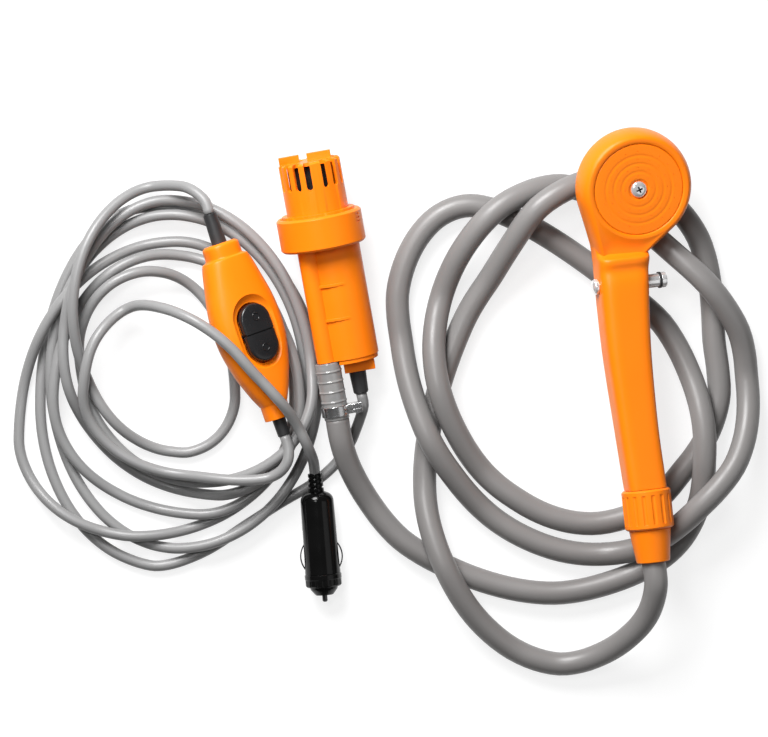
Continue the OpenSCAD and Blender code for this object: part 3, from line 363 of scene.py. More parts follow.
def cablePaths(spec):
    step = spec["step"]
    glandOut = pumpFlat @ Vector((pumpSpec["glandShift"], 0, pumpSpec["glandEnd"]))
    glandOn = pumpFlat @ Vector((pumpSpec["glandShift"], 0, pumpSpec["glandEnd"] - step))
    upperEnd = switchSpec["length"] + switchSpec["upperRelief"]
    upperOut = switchPlace @ Vector((0, upperEnd, 0))
    upperOn = switchPlace @ Vector((0, upperEnd + step, 0))
    lowerOut = switchPlace @ Vector((0, -switchSpec["lowerRelief"], 0))
    lowerOn = switchPlace @ Vector((0, -switchSpec["lowerRelief"] - step, 0))
    plugOut = plugPlace @ Vector((0, 0, -plugSpec["relief"]))
    plugOn = plugPlace @ Vector((0, 0, -plugSpec["relief"] - step))
    plan = [flat(glandOut), flat(glandOn)] + fromPhoto(spec["pumpTail"])
    plan += turnsPath(spec["turns"], spec["quarterParts"]) + fromPhoto(spec["switchTail"])
    plan += [flat(upperOn), flat(upperOut)]
    pumpCable = meetEnds(laidPath(plan, [], [glandOut, upperOut], spec), glandOut, upperOut, spec)
    plan = [flat(lowerOut), flat(lowerOn)] + fromPhoto(spec["plugStart"])
    plan += turnsPath(spec["plugTurn"], spec["quarterParts"]) + fromPhoto(spec["plugEnd"])
    plan += [flat(plugOn), flat(plugOut)]
    over = [lowerOut] + fromPhoto(spec["plugOver"]) + [plugOut]
    plugCable = meetEnds(laidPath(plan, pumpCable, over, spec), lowerOut, plugOut, spec)
    return smoothThrough(pumpCable, spec["smooth"]), smoothThrough(plugCable, spec["smooth"])


def makeCord(name, node, path, spec):
    piece = makeTube(name, path, spec["diameter"] / 2, spec["roundness"])
    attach(piece, "kit")
    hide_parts(node)
    print(name, "length", round(distances(path)[-1], 3), "m")
    return piece


def declareCord(path):
    distances(path)[-1]


hoseLine = hosePath(hoseSpec)
pumpCableLine, plugCableLine = cablePaths(cableSpec)
hosePiece = makeCord("greyHose", "hose", hoseLine, hoseSpec)
pumpCablePiece = makeCord("pumpCable", "cable_pump", pumpCableLine, cableSpec)
plugCablePiece = makeCord("plugCable", "cable_plug", plugCableLine, cableSpec)


# shader sockets that take part in Python maths
class Wire:
    def __init__(self, tree, socket=None):
        self.tree = tree
        self.socket = socket

    def add(self, kind, settings=None, inputs=None, output=0):
        node = self.tree.nodes.new("ShaderNode" + kind)
        for name, value in (settings or {}).items():
            setattr(node, name, value)
        for name, value in (inputs or {}).items():
            if isinstance(value, Wire):
                self.tree.links.new(value.socket, node.inputs[name])
            else:
                node.inputs[name].default_value = value
        return Wire(self.tree, node.outputs[output])

    def calc(self, operation, a, b):
        return self.add("Math", {"operation": operation}, {0: a, 1: b})

    def __add__(self, other):
        return self.calc("ADD", self, other)

    def __radd__(self, other):
        return self.calc("ADD", other, self)

    def __mul__(self, other):
        return self.calc("MULTIPLY", self, other)

    def mixed(self, colourA, colourB):  # this value blends two colours
        return self.add("Mix", {"data_type": "RGBA"}, {0: self, 6: colourA, 7: colourB}, 2)

    def ramp(self, low, high):  # 0 below low, 1 above high
        return self.add("MapRange", {"interpolation_type": "SMOOTHSTEP"}, {0: self, 1: low, 2: high})


def startMaterial(name, **fixed):
    material = bpy.data.materials.new(name)
    material.use_nodes = True
    shader = material.node_tree.nodes["Principled BSDF"]
    for socket, value in fixed.items():
        shader.inputs[socket.replace("_", " ")].default_value = value
    return material, Wire(material.node_tree), shader


def feed(shader, socket, wire):
    wire.tree.links.new(wire.socket, shader.inputs[socket])


def noiseOn(wire, scale, detail, rough=0.5):
    inputs = {"Vector": wire.add("TexCoord", output=3), "Scale": scale, "Detail": detail, "Roughness": rough}
    return wire.add("TexNoise", None, inputs)


def bumpOn(wire, height, strength, distance):
    return wire.add("Bump", None, {"Strength": strength, "Distance": distance, "Height": height})


# how far colour and gloss drift on every finish
driftSpec = {
    "ior": 1.46, "colourDetail": 4.0, "colourRamp": (0.3, 0.7), "wearDetail": 6.0, "wearRough": 0.65,
    "wearRamp": (0.35, 0.75), "grainDetail": 2.0,
}


def finishSurface(name, look, spec):
    fixed = {"Metallic": look.get("metallic", 0.0), "IOR": spec["ior"]}
    fixed.update(look.get("fixed", {}))
    material, wire, shader = startMaterial(name, **fixed)
    drift = noiseOn(wire, look["driftScale"], spec["colourDetail"]).ramp(*spec["colourRamp"])
    feed(shader, "Base Color", drift.mixed((*look["colour"], 1), (*look["colour2"], 1)))
    wearing = noiseOn(wire, look["wearScale"], spec["wearDetail"], spec["wearRough"]).ramp(*spec["wearRamp"])
    feed(shader, "Roughness", look["rough"] + wearing * look["roughSpan"])
    grain = noiseOn(wire, look["grainScale"], spec["grainDetail"])
    feed(shader, "Normal", bumpOn(wire, grain, look["grain"], look["grainDepth"]))
    return material


looks = {
    "orange": {
        "colour": (1.0, 0.215, 0.003), "colour2": (1.0, 0.23, 0.004),
        "driftScale": 18, "wearScale": 60, "rough": 0.34, "roughSpan": 0.1, "grainScale": 900,
        "grain": 0.1, "grainDepth": 0.0002, "fixed": {"Specular_IOR_Level": 0.3}},
    "black_plastic": {
        "colour": (0.01, 0.01, 0.011), "colour2": (0.016, 0.016, 0.017),
        "driftScale": 40, "wearScale": 120, "rough": 0.2, "roughSpan": 0.12, "grainScale": 1200,
        "grain": 0.1, "grainDepth": 0.0001},
    "black_gloss": {
        "colour": (0.002, 0.002, 0.002), "colour2": (0.004, 0.004, 0.004),
        "driftScale": 40, "wearScale": 120, "rough": 0.12, "roughSpan": 0.08, "grainScale": 1200,
        "grain": 0.05, "grainDepth": 0.0001, "fixed": {"Specular_IOR_Level": 0.3}},
    "black_rubber": {
        "colour": (0.02, 0.02, 0.021), "colour2": (0.03, 0.03, 0.031),
        "driftScale": 60, "wearScale": 160, "rough": 0.45, "roughSpan": 0.15, "grainScale": 1600,
        "grain": 0.25, "grainDepth": 0.0002},
    "black_foam": {
        "colour": (0.004, 0.004, 0.004), "colour2": (0.02, 0.017, 0.015),
        "driftScale": 900, "wearScale": 300, "rough": 0.85, "roughSpan": 0.1, "grainScale": 1400,
        "grain": 0.8, "grainDepth": 0.0006},
    "cable_grey": {
        "colour": (0.245, 0.243, 0.243), "colour2": (0.275, 0.273, 0.273),
        "driftScale": 14, "wearScale": 50, "rough": 0.3, "roughSpan": 0.12, "grainScale": 700,
        "grain": 0.1, "grainDepth": 0.0002},
    "grey_pvc": {
        "colour": (0.198, 0.189, 0.185), "colour2": (0.22, 0.211, 0.207),
        "driftScale": 14, "wearScale": 50, "rough": 0.34, "roughSpan": 0.12, "grainScale": 700,
        "grain": 0.12, "grainDepth": 0.0002},
    "clear_pvc": {
        "colour": (0.3, 0.3, 0.3), "colour2": (0.4, 0.39, 0.38),
        "driftScale": 90, "wearScale": 140, "rough": 0.12, "roughSpan": 0.1, "grainScale": 500,
        "grain": 0.06, "grainDepth": 0.0002, "fixed": {"Transmission_Weight": 0.25, "Coat_Weight": 0.6}},
    # chrome: a metal reflection, plus a pale diffuse share from metallic 0.65 that is painted reflection of
    # a bright studio
    "chrome": {
        "colour": (0.86, 0.86, 0.87), "colour2": (0.92, 0.92, 0.92),
        "driftScale": 60, "wearScale": 200, "rough": 0.1, "roughSpan": 0.08, "grainScale": 900,
        "grain": 0.03, "grainDepth": 0.0001, "metallic": 0.65},
    "steel": {
        "colour": (0.62, 0.62, 0.63), "colour2": (0.72, 0.72, 0.72),
        "driftScale": 80, "wearScale": 220, "rough": 0.2, "roughSpan": 0.14, "grainScale": 1100,
        "grain": 0.06, "grainDepth": 0.0001, "metallic": 1.0},
    # darker copy of steel: the springs' dark metal, and painted shade on the tip contact
    "dark_steel_and_shade": {
        "colour": (0.07, 0.07, 0.072), "colour2": (0.11, 0.11, 0.113),
        "driftScale": 80, "wearScale": 220, "rough": 0.22, "roughSpan": 0.14, "grainScale": 1100,
        "grain": 0.06, "grainDepth": 0.0001, "metallic": 1.0},
    "brass": {
        "colour": (0.72, 0.52, 0.2), "colour2": (0.8, 0.6, 0.26),
        "driftScale": 80, "wearScale": 220, "rough": 0.24, "roughSpan": 0.16, "grainScale": 1100,
        "grain": 0.06, "grainDepth": 0.0001, "metallic": 1.0},
    "magnet": {
        "colour": (0.05, 0.05, 0.055), "colour2": (0.08, 0.08, 0.085),
        "driftScale": 120, "wearScale": 260, "rough": 0.55, "roughSpan": 0.2, "grainScale": 1500,
        "grain": 0.3, "grainDepth": 0.0002},
    "fuse_glass": {
        "colour": (0.8, 0.83, 0.84), "colour2": (0.88, 0.9, 0.91),
        "driftScale": 60, "wearScale": 200, "rough": 0.05, "roughSpan": 0.05, "grainScale": 600,
        "grain": 0.02, "grainDepth": 0.0001, "fixed": {"Transmission_Weight": 0.8}},
}
finishes = {name: finishSurface(name, look, driftSpec) for name, look in looks.items()}


def paint(piece, finish):
    piece.data.materials.clear()
    piece.data.materials.append(finishes[finish])


# finish of the solids inside, which keep their shape
nodeFinish = {
    "orange": ["suction_plate"],
    "black_plastic": ["impeller", "switch_base"],
    "black_foam": ["intake_filter"],
    "black_rubber": ["shaft_seal", "chamber_gasket", "plate_seal", "spool_rings", "hose_washer"],
    "steel": ["motor_can", "rotor_shaft", "hose_barb", "rocker_pin", "switch_screws", "tip_spring"],
    "brass": ["armature", "bearings", "hose_tail", "terminals"],
    "magnet": ["magnets"],
    "fuse_glass": ["fuse"],
}
for finish, members in nodeFinish.items():
    for member in members:
        paint(nodes[member], finish)
paint(hosePiece, "grey_pvc")
paint(pumpCablePiece, "cable_grey")
paint(plugCablePiece, "cable_grey")
print("finishes:", len(finishes))


# tools for the rigid pieces
def sharpen(piece, degrees):
    piece.data.set_sharp_from_angle(angle=math.radians(degrees))


def evenShading(piece):
    piece.modifiers.new("evenShading", "WEIGHTED_NORMAL").keep_sharp = True


def finishPiece(name, shape, stands, finish, sharpAngle=35, weighted=True):
    smoothFaces(shape)
    piece = makeObject(name, shape)
    sharpen(piece, sharpAngle)
    if weighted:
        evenShading(piece)
    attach(piece, nodes[stands[0]]["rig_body"])
    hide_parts(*stands)
    paint(piece, finish)
    return piece


def softCopy(name, node, finish, width, segments=3, sharpAngle=35, flatAngle=1):  # the solid, edges rounded
    shape = bmesh.new()
    shape.from_mesh(nodes[node].data)
    bmesh.ops.remove_doubles(shape, verts=shape.verts, dist=2 * weld)
    bmesh.ops.dissolve_limit(shape, angle_limit=math.radians(flatAngle), verts=shape.verts,
                             edges=shape.edges)
    limit = math.radians(sharpAngle)
    sharp = [e for e in shape.edges if len(e.link_faces) == 2 and e.calc_face_angle(0) > limit]
    bmesh.ops.bevel(shape, geom=sharp, offset=width, offset_type="OFFSET", segments=segments,
                    profile=0.5, affect="EDGES", clamp_overlap=True, material=-1)
    return finishPiece(name, shape, [node], finish)


def roundCorners(points, parts=5, most=2.02):  # (across, along, fillet) corners become arcs
    made = []
    for i, point in enumerate(points):
        fillet = point[2] if len(point) > 2 else 0
        here = Vector(point[:2])
        if fillet <= 0 or i == 0 or i == len(points) - 1:
            made.append(here)
            continue
        back, on = Vector(points[i - 1][:2]) - here, Vector(points[i + 1][:2]) - here
        reach = min(fillet, back.length / most, on.length / most)
        a, b = here + back.normalized() * reach, here + on.normalized() * reach
        for k in range(parts + 1):
            t = k / parts
            made.append(a * (1 - t) ** 2 + here * 2 * t * (1 - t) + b * t * t)
    return made


def spinInto(shape, profile, place, steps):  # (radius, height) points turned about the local z axis
    verts = [shape.verts.new((p[0], 0, p[1])) for p in profile]
    edges = [shape.edges.new(pair) for pair in zip(verts, verts[1:])]
    made = bmesh.ops.spin(shape, geom=verts + edges, cent=(0, 0, 0), axis=(0, 0, 1), angle=math.tau,
                          steps=steps, use_merge=True, use_duplicate=False)
    turned = {v for v in verts if v.is_valid}
    turned.update(g for g in made["geom_last"] if isinstance(g, bmesh.types.BMVert))
    grown, todo = set(turned), list(turned)
    while todo:
        for edge in todo.pop().link_edges:
            for v in edge.verts:
                if v not in grown:
                    grown.add(v)
                    todo.append(v)
    bmesh.ops.remove_doubles(shape, verts=list(grown), dist=weld)
    bmesh.ops.transform(shape, matrix=place, verts=[v for v in grown if v.is_valid])


def loopEdges(verts):  # edges with both ends among these points
    inside = set(verts)
    return [e for e in {e for v in verts for e in v.link_edges} if set(e.verts) <= inside]


def bridgeLoops(shape, loops):
    for a, b in zip(loops, loops[1:]):
        bmesh.ops.bridge_loops(shape, edges=a + b)


def ringInto(shape, row, sides, power, cap):  # rounded box section across the local y axis
    made = bmesh.ops.create_circle(shape, cap_ends=cap, radius=1, segments=sides)["verts"]
    y, halfX, halfZ, shiftX, shiftZ = row
    for v in made:
        c, s = v.co.x, v.co.y
        v.co = (shiftX + halfX * math.copysign(abs(c) ** (2 / power), c), y,
                shiftZ + halfZ * math.copysign(abs(s) ** (2 / power), s))
    return loopEdges(made)


def loftInto(shape, rows, sides, power):
    ends = (0, len(rows) - 1)
    bridgeLoops(shape, [ringInto(shape, row, sides, power, k in ends) for k, row in enumerate(rows)])


def cutWith(piece, cutters):  # the cutters leave their hollows in the piece
    for cutter in cutters:
        cut = piece.modifiers.new("cut", "BOOLEAN")
        cut.operation = "DIFFERENCE"
        cut.solver = "EXACT"
        cut.object = cutter
    whole = bpy.data.meshes.new_from_object(piece.evaluated_get(bpy.context.evaluated_depsgraph_get()))
    piece.modifiers.clear()
    piece.data = whole
    for cutter in cutters:
        bpy.data.objects.remove(cutter)


# handset: handle and head
handleSpec = {
    "rows": [  # along the handle, half width, half depth, shift across, shift up
        (0.0403, 0.0108, 0.0102, 0.0, 0.0), (0.046, 0.0109, 0.0103, -0.0003, 0.0),
        (0.074, 0.0112, 0.0106, -0.0015, 0.0), (0.112, 0.0124, 0.0112, -0.0022, 0.0),
        (0.139, 0.0134, 0.0118, -0.0015, 0.0), (0.153, 0.0139, 0.0120, -0.0008, 0.0001),
        (0.1600, 0.0142, 0.0117, -0.0004, -0.0003), (0.1642, 0.0145, 0.0123, 0.0, 0.0004),
        (0.1668, 0.0147, 0.0122, 0.0002, 0.0003), (0.1688, 0.0149, 0.0104, 0.0004, -0.0012),
        (0.1715, 0.0152, 0.0090, 0.0008, -0.0022), (0.1785, 0.0180, 0.0088, 0.0030, -0.0019),
        (0.184, 0.0215, 0.0091, 0.0060, -0.0013), (0.191, 0.0240, 0.0085, 0.0080, -0.0010)],
    "parts": 5, "sides": 64, "power": 4.0,
}
headSpec = {
    "at": (0.010, 0.203, 0.017), "tilt": 13, "radius": 0.032, "depth": 0.023, "rimHeight": 0.0125,
    "plateR": 0.025, "plateGap": 0.0001, "recess": 0.0036, "lip": 0.0003, "bead": 0.0044, "inner": 0.0024,
    "fall": 0.0008, "sink": 0.0006, "neckLeft": (-0.0225, -0.040), "neckRight": (0.0010, -0.040),
    "dip": 0.07, "slope": 0.13, "sides": 144, "web": (0.25, 0.5, 0.75),
    "back": [  # inward from the rim, share of the egg, height above the back
        (0.0012, 0.8, 0.0068), (0.0032, 0.6, 0.0046), (0.0058, 0.4, 0.0028), (0.0085, 0.2, 0.0014),
        (0.012, 0, 0.0004), (0.015, 0, 0)],
}
headPlace = handsetPlace @ Matrix.Translation(headSpec["at"]) @ turn("X", headSpec["tilt"])


def touchPoint(corner, radius, side):  # where a line from the corner touches the circle
    swing = math.atan2(corner.y, corner.x) + side * math.acos(radius / corner.length)
    return radius * Vector((math.cos(swing), math.sin(swing)))


def headEdges(head):  # straight stretches of the head's outline, between the circle and the neck
    left, right = Vector(head["neckLeft"]), Vector(head["neckRight"])
    return [(touchPoint(left, head["radius"], -1), left), (left, right),
            (right, touchPoint(right, head["radius"], 1))]


def reachAt(angle, radius, edges):  # from the head's centre to its egg-shaped outline
    ray = Vector((math.cos(angle), math.sin(angle)))
    reach = radius
    for start, end in edges:
        edge = end - start
        across = ray.cross(edge)
        if abs(across) > 1e-9 and 0 <= start.cross(ray) / across <= 1:
            reach = max(reach, start.cross(edge) / across)
    return reach


def headLevels(head):  # rings from the plate's seat to the back: radius, share of the egg, height
    r, high, fall = head["radius"], head["rimHeight"], head["fall"]
    top, seat = r - head["bead"], head["plateR"] + head["plateGap"]
    levels = [(seat, 0, -head["recess"]), (seat, 0, -fall - head["lip"])]
    for a in range(90, -1, -10):
        inward, drop = math.sin(math.radians(a)), 1 - math.cos(math.radians(a))
        levels.append((top - head["inner"] * inward, 0, -fall * drop))
    levels += [(top, share, 0) for share in head["web"]]
    for a in range(90, -11, -5):
        out, rise = math.cos(math.radians(a)), math.sin(math.radians(a))
        levels.append((top + head["bead"] * out, 1, high * (rise - 1)))
    return levels + [(r - inward, share, rise - head["depth"]) for inward, share, rise in head["back"]]


def headInto(shape, head):
    edges, levels = headEdges(head), headLevels(head)
    loops, grown = [], []
    for k, (radius, share, height) in enumerate(levels):
        made = bmesh.ops.create_circle(shape, cap_ends=k in (0, len(levels) - 1), radius=1,
                                       segments=head["sides"])["verts"]
        for v in made:
            angle = math.atan2(v.co.y, v.co.x)
            more = reachAt(angle, head["radius"], edges) - head["radius"]
            out = radius + share * more
            drop = more * share * (head["slope"] + head["dip"] * 4 * (1 - share))
            v.co = (out * math.cos(angle), out * math.sin(angle), height - drop)
        loops.append(loopEdges(made))
        grown += made
    bridgeLoops(shape, loops)
    bmesh.ops.transform(shape, matrix=headPlace, verts=grown)
    bmesh.ops.remove_doubles(shape, verts=grown, dist=weld)


def makeHandset(handle, head):
    shape = bmesh.new()
    loftInto(shape, smoothRows(handle["rows"], handle["parts"]), handle["sides"], handle["power"])
    bmesh.ops.transform(shape, matrix=handsetPlace, verts=shape.verts)
    headInto(shape, head)
    finishPiece("handsetBody", shape, ["handset_body"], "orange", 40)


makeHandset(handleSpec, headSpec)
print("handset body made")


# spray plate: shallow rings, small dimples, and the screw in its seat
plateSpec = {
    "radius": 0.0250, "thick": 0.0024, "edge": 0.0002, "edgeFillets": (0.0004, 0.0002),
    "seatR": 0.0057, "seatDeep": 0.0010, "seatSlope": 0.0004, "seatFillets": (0.0003, 0.0004),
    "grooves": (0.39, 0.57, 0.75), "grooveHalf": 0.0010, "grooveDeep": 0.00022,
    "grooveFillets": (0.0006, 0.0008), "sides": 96, "cornerParts": 4, "sharp": 30,
    "dimples": [(0.30, 8), (0.48, 12), (0.66, 16), (0.84, 20)], "dimpleSides": 10,
    "dimpleFoot": 0.000175, "dimpleMouth": 0.000525, "dimpleDeep": 0.0003,
}
screwSpec = {
    "radius": 0.0044, "base": -0.0010, "edge": -0.0002, "crown": 0.0013, "domeParts": 8, "sides": 48,
    "sharp": 40, "crossLen": 0.0048, "crossWide": 0.0012, "crossDeep": 0.0010, "crossTaper": 0.6, "turn": 20,
    "shankR": 0.0018, "shankEnd": -0.0110, "paintedShadeFrom": 0.0001, "paintedShadeUnder": 0.0002, "paintedShadeReach": 0.7,
}
platePlace = headPlace @ Matrix.Translation((0, 0, -headSpec["sink"]))


def plateProfile(spec):
    r, half, deep, edge = spec["radius"], spec["grooveHalf"], spec["grooveDeep"], spec["edge"]
    foot, mouth = spec["seatFillets"]
    side, floor = spec["grooveFillets"]
    upper, lower = spec["edgeFillets"]
    profile = [(0, -spec["seatDeep"]), (spec["seatR"] - spec["seatSlope"], -spec["seatDeep"], foot),
               (spec["seatR"], 0, mouth)]
    for share in spec["grooves"]:
        profile += [(share * r - half, 0, side), (share * r, -deep, floor), (share * r + half, 0, side)]
    return profile + [(r - 2 * edge, 0, upper), (r, -edge, lower), (r, -spec["thick"]), (0, -spec["thick"])]


def makeSprayPlate(spec):
    shape = bmesh.new()
    spinInto(shape, roundCorners(plateProfile(spec), spec["cornerParts"]), platePlace, spec["sides"])
    piece = finishPiece("sprayPlate", shape, ["spray_plate"], "orange", spec["sharp"], weighted=False)
    holes = bmesh.new()
    for share, count in spec["dimples"]:
        for k in range(count):
            out = Matrix.Translation((share * spec["radius"], 0, 0))
            bmesh.ops.create_cone(holes, cap_ends=True, segments=spec["dimpleSides"],
                                  radius1=spec["dimpleFoot"], radius2=spec["dimpleMouth"],
                                  depth=2 * spec["dimpleDeep"],
                                  matrix=platePlace @ turn("Z", 360 * k / count) @ out)
    cutWith(piece, [makeObject("dimpleCutter", holes)])
    sharpen(piece, spec["sharp"])


def crossCutter(spec, degrees):
    place = platePlace @ turn("Z", degrees) @ Matrix.Translation((0, 0, spec["crown"]))
    bar = bmesh.new()
    for v in bmesh.ops.create_cube(bar, size=1)["verts"]:
        taper = spec["crossTaper"] if v.co.z < 0 else 1.0
        v.co = (v.co.x * spec["crossLen"] * taper, v.co.y * spec["crossWide"] * taper,
                v.co.z * 2 * spec["crossDeep"])
    bmesh.ops.transform(bar, matrix=place, verts=bar.verts)
    return makeObject("crossCutter", bar)


def makePlateScrew(spec):
    r, edge, rise = spec["radius"], spec["edge"], spec["crown"] - spec["edge"]
    angles = [k * math.pi / (2 * spec["domeParts"]) for k in range(spec["domeParts"] + 1)]
    dome = [(r * math.cos(a), edge + rise * math.sin(a)) for a in angles]
    shank = [(0, spec["shankEnd"]), (spec["shankR"], spec["shankEnd"]), (spec["shankR"], spec["base"])]
    shape = bmesh.new()
    spinInto(shape, shank + [(r, spec["base"])] + dome, platePlace, spec["sides"])
    piece = finishPiece("plateScrew", shape, ["plate_screw"], "chrome", spec["sharp"], weighted=False)
    cutWith(piece, [crossCutter(spec, spec["turn"] + quarterTurn) for quarterTurn in (0, 90)])
    sharpen(piece, spec["sharp"])
    # black plastic as a second material, for the painted shade inside the cross
    piece.data.materials.append(finishes["black_plastic"])
    back = platePlace.inverted()
    for face in piece.data.polygons:  # painted shade: faces inside the cross get black plastic, standing in for the shadow in the recess
        middle = back @ face.center
        out = min(1, math.hypot(middle.x, middle.y) / r)
        surface = edge + rise * math.sqrt(1 - out * out)
        inCross = spec["base"] + spec["paintedShadeFrom"] < middle.z < surface - spec["paintedShadeUnder"]
        if inCross and out < spec["paintedShadeReach"]:
            face.material_index = 1


makeSprayPlate(plateSpec)
makePlateScrew(screwSpec)
print("spray plate made")


# clear hose end over the barb: its ridges show as bright rings
cuffSpec = {
    "radius": 0.0070, "bore": 0.0034, "top": -0.0004, "length": 0.032, "lipDeep": 0.0038, "lipIn": 0.0003,
    "tailIn": 0.0001, "rings": (0.0051, 0.0107, 0.0164, 0.0220), "ridge": 0.00045, "ridgeHalf": 0.0007,
    "fillet": 0.0004, "ridgeFillet": 0.0005, "tailFillet": 0.0003, "cornerParts": 4, "sides": 64,
}


def makeCuff(spec):
    r, fillet = spec["radius"], spec["fillet"]
    profile = [(spec["bore"], spec["top"]), (r - spec["lipIn"], spec["top"], fillet),
               (r, -spec["lipDeep"], fillet)]
    for at in spec["rings"]:
        profile += [(r, -at + spec["ridgeHalf"], fillet), (r + spec["ridge"], -at, spec["ridgeFillet"]),
                    (r, -at - spec["ridgeHalf"], fillet)]
    profile += [(r - spec["tailIn"], -spec["length"], spec["tailFillet"]), (spec["bore"], -spec["length"])]
    shape = bmesh.new()
    place = pumpPlace @ Matrix.Translation((-pumpSpec["channelOff"], 0, 0))
    closed = roundCorners(profile, spec["cornerParts"]) + [Vector(profile[0][:2])]
    spinInto(shape, closed, place, spec["sides"])
    finishPiece("clearHoseEnd", shape, ["hose_cuff"], "clear_pvc", 40)


makeCuff(cuffSpec)
print("clear hose end made")


# switch: two shells that meet at the parting plane, with a dish and an opening for the rocker
shellSpec = {
    "halfWidth": 0.0205, "halfHeight": 0.0115, "length": 0.101,
    "rows": [  # share of the length, of the half width and of the half height
        (0, 0.330, 0.60), (0.006, 0.354, 0.63), (0.078, 0.354, 0.63), (0.084, 0.37, 0.65),
        (0.100, 0.41, 0.69), (0.146, 0.527, 0.76), (0.21, 0.66, 0.83), (0.28, 0.79, 0.89),
        (0.42, 0.96, 0.98), (0.55, 1, 1), (0.66, 0.95, 0.99), (0.76, 0.84, 0.96),
        (0.86, 0.72, 0.92), (0.905, 0.645, 0.895), (0.914, 0.60, 0.87), (0.922, 0.50, 0.825),
        (0.94, 0.488, 0.82), (0.975, 0.487, 0.82), (0.990, 0.465, 0.79), (1, 0.40, 0.70)],
    "parts": 4, "sides": 64, "power": 2.5, "seam": 0.00012, "sharp": 32,
    "rockerY": 0.04848, "rockerLen": 0.033, "rockerW": 0.0188, "pitFloor": 0.003, "pitSlack": 0.0006,
    "above": 0.004, "dish": 0.0030, "dishRim": 0.0042, "dishOut": 0.0102,  # the wall gives (rise, growth)
    "dishWall": [(0, -0.0035), (0.0004, -0.0024), (0.0010, -0.0014), (0.0018, -0.0004), (0.0026, 0.0005),
                 (0.0036, 0.0013)],
}


def stadiumInto(shape, length, width, levels, sides=64):  # (height, growth) of each ring, from low to high
    loops, half, ends = [], (length - width) / 2, (0, len(levels) - 1)
    for k, (height, grow) in enumerate(levels):
        made = bmesh.ops.create_circle(shape, cap_ends=k in ends, radius=width / 2 + grow,
                                       segments=sides)["verts"]
        for v in made:
            v.co.y += half if v.co.y > 1e-9 else -half if v.co.y < -1e-9 else 0
            v.co.z = height
        loops.append(loopEdges(made))
    bridgeLoops(shape, loops)


def makeCutter(name, spec, levels):
    shape = bmesh.new()
    stadiumInto(shape, spec["rockerLen"], spec["rockerW"], levels)
    bmesh.ops.recalc_face_normals(shape, faces=shape.faces)
    place = switchPlace @ Matrix.Translation((0, spec["rockerY"], 0))
    bmesh.ops.transform(shape, matrix=place, verts=shape.verts)
    return makeObject(name, shape)


def makeShell(name, node, side, spec):
    shape = bmesh.new()
    rows = [(share * spec["length"], w * spec["halfWidth"], h * spec["halfHeight"], 0, 0)
            for share, w, h in smoothRows(spec["rows"], spec["parts"])]
    loftInto(shape, rows, spec["sides"], spec["power"])
    cut = bmesh.ops.bisect_plane(shape, geom=shape.verts[:] + shape.edges[:] + shape.faces[:],
                                 dist=weld / 10, plane_co=(0, 0, side * spec["seam"]),
                                 plane_no=(0, 0, -side), clear_outer=True)
    rim = [g for g in cut["geom_cut"] if isinstance(g, bmesh.types.BMEdge)]
    bmesh.ops.contextual_create(shape, geom=rim)
    bmesh.ops.transform(shape, matrix=switchPlace, verts=shape.verts)
    hollow = side > 0
    piece = finishPiece(name, shape, [node], "orange", spec["sharp"], weighted=not hollow)
    if hollow:
        high = spec["halfHeight"] + spec["above"]
        floor = spec["halfHeight"] - spec["dish"]
        flare = [(floor + rise, spec["dishRim"] + grow) for rise, grow in spec["dishWall"]]
        dish = makeCutter("dishCutter", spec, flare + [(high, spec["dishOut"])])
        pit = makeCutter("pitCutter", spec, [(spec["pitFloor"], spec["pitSlack"]), (high, spec["pitSlack"])])
        bpy.context.view_layer.update()
        cutWith(piece, [dish, pit])
        sharpen(piece, spec["sharp"])
        evenShading(piece)
    return piece


# rocker: two domed halves with a ring mark on each
rockerSpec = {
    "slack": 0.0003, "splitWide": 0.0007, "splitDeep": 0.0011, "sharp": 40,
    "dome": [  # below the top, inward
        (0.0045, 0), (0.0016, 0), (0.0009, 0.0002), (0.0005, 0.0006), (0.0003, 0.0012), (0.0001, 0.0024),
        (0, 0.0046)],
    "notchR": 0.0012, "notchOut": 0.0003, "notchLong": 0.02, "notchSides": 24,
    "markAt": 0.0088, "markR": 0.0020, "markWide": 0.0005, "markHigh": 0.0004, "markSides": 32,
}


def rockerCutters(spec, shell, surface):  # the split across the middle, with a notch at either end
    split = bmesh.new()
    bmesh.ops.create_cube(split, size=1)
    size = (2 * shell["rockerW"], spec["splitWide"], 2 * spec["splitDeep"])
    bmesh.ops.scale(split, vec=size, verts=split.verts)
    bmesh.ops.transform(split, matrix=surface, verts=split.verts)
    cutters = [makeObject("splitCutter", split)]
    for side in (-1, 1):
        notch = bmesh.new()
        out = Matrix.Translation((side * (shell["rockerW"] / 2 + spec["notchOut"]), 0, 0))
        bmesh.ops.create_cone(notch, cap_ends=True, segments=spec["notchSides"], radius1=spec["notchR"],
                              radius2=spec["notchR"], depth=spec["notchLong"], matrix=surface @ out)
        cutters.append(makeObject("notchCutter", notch))
    return cutters


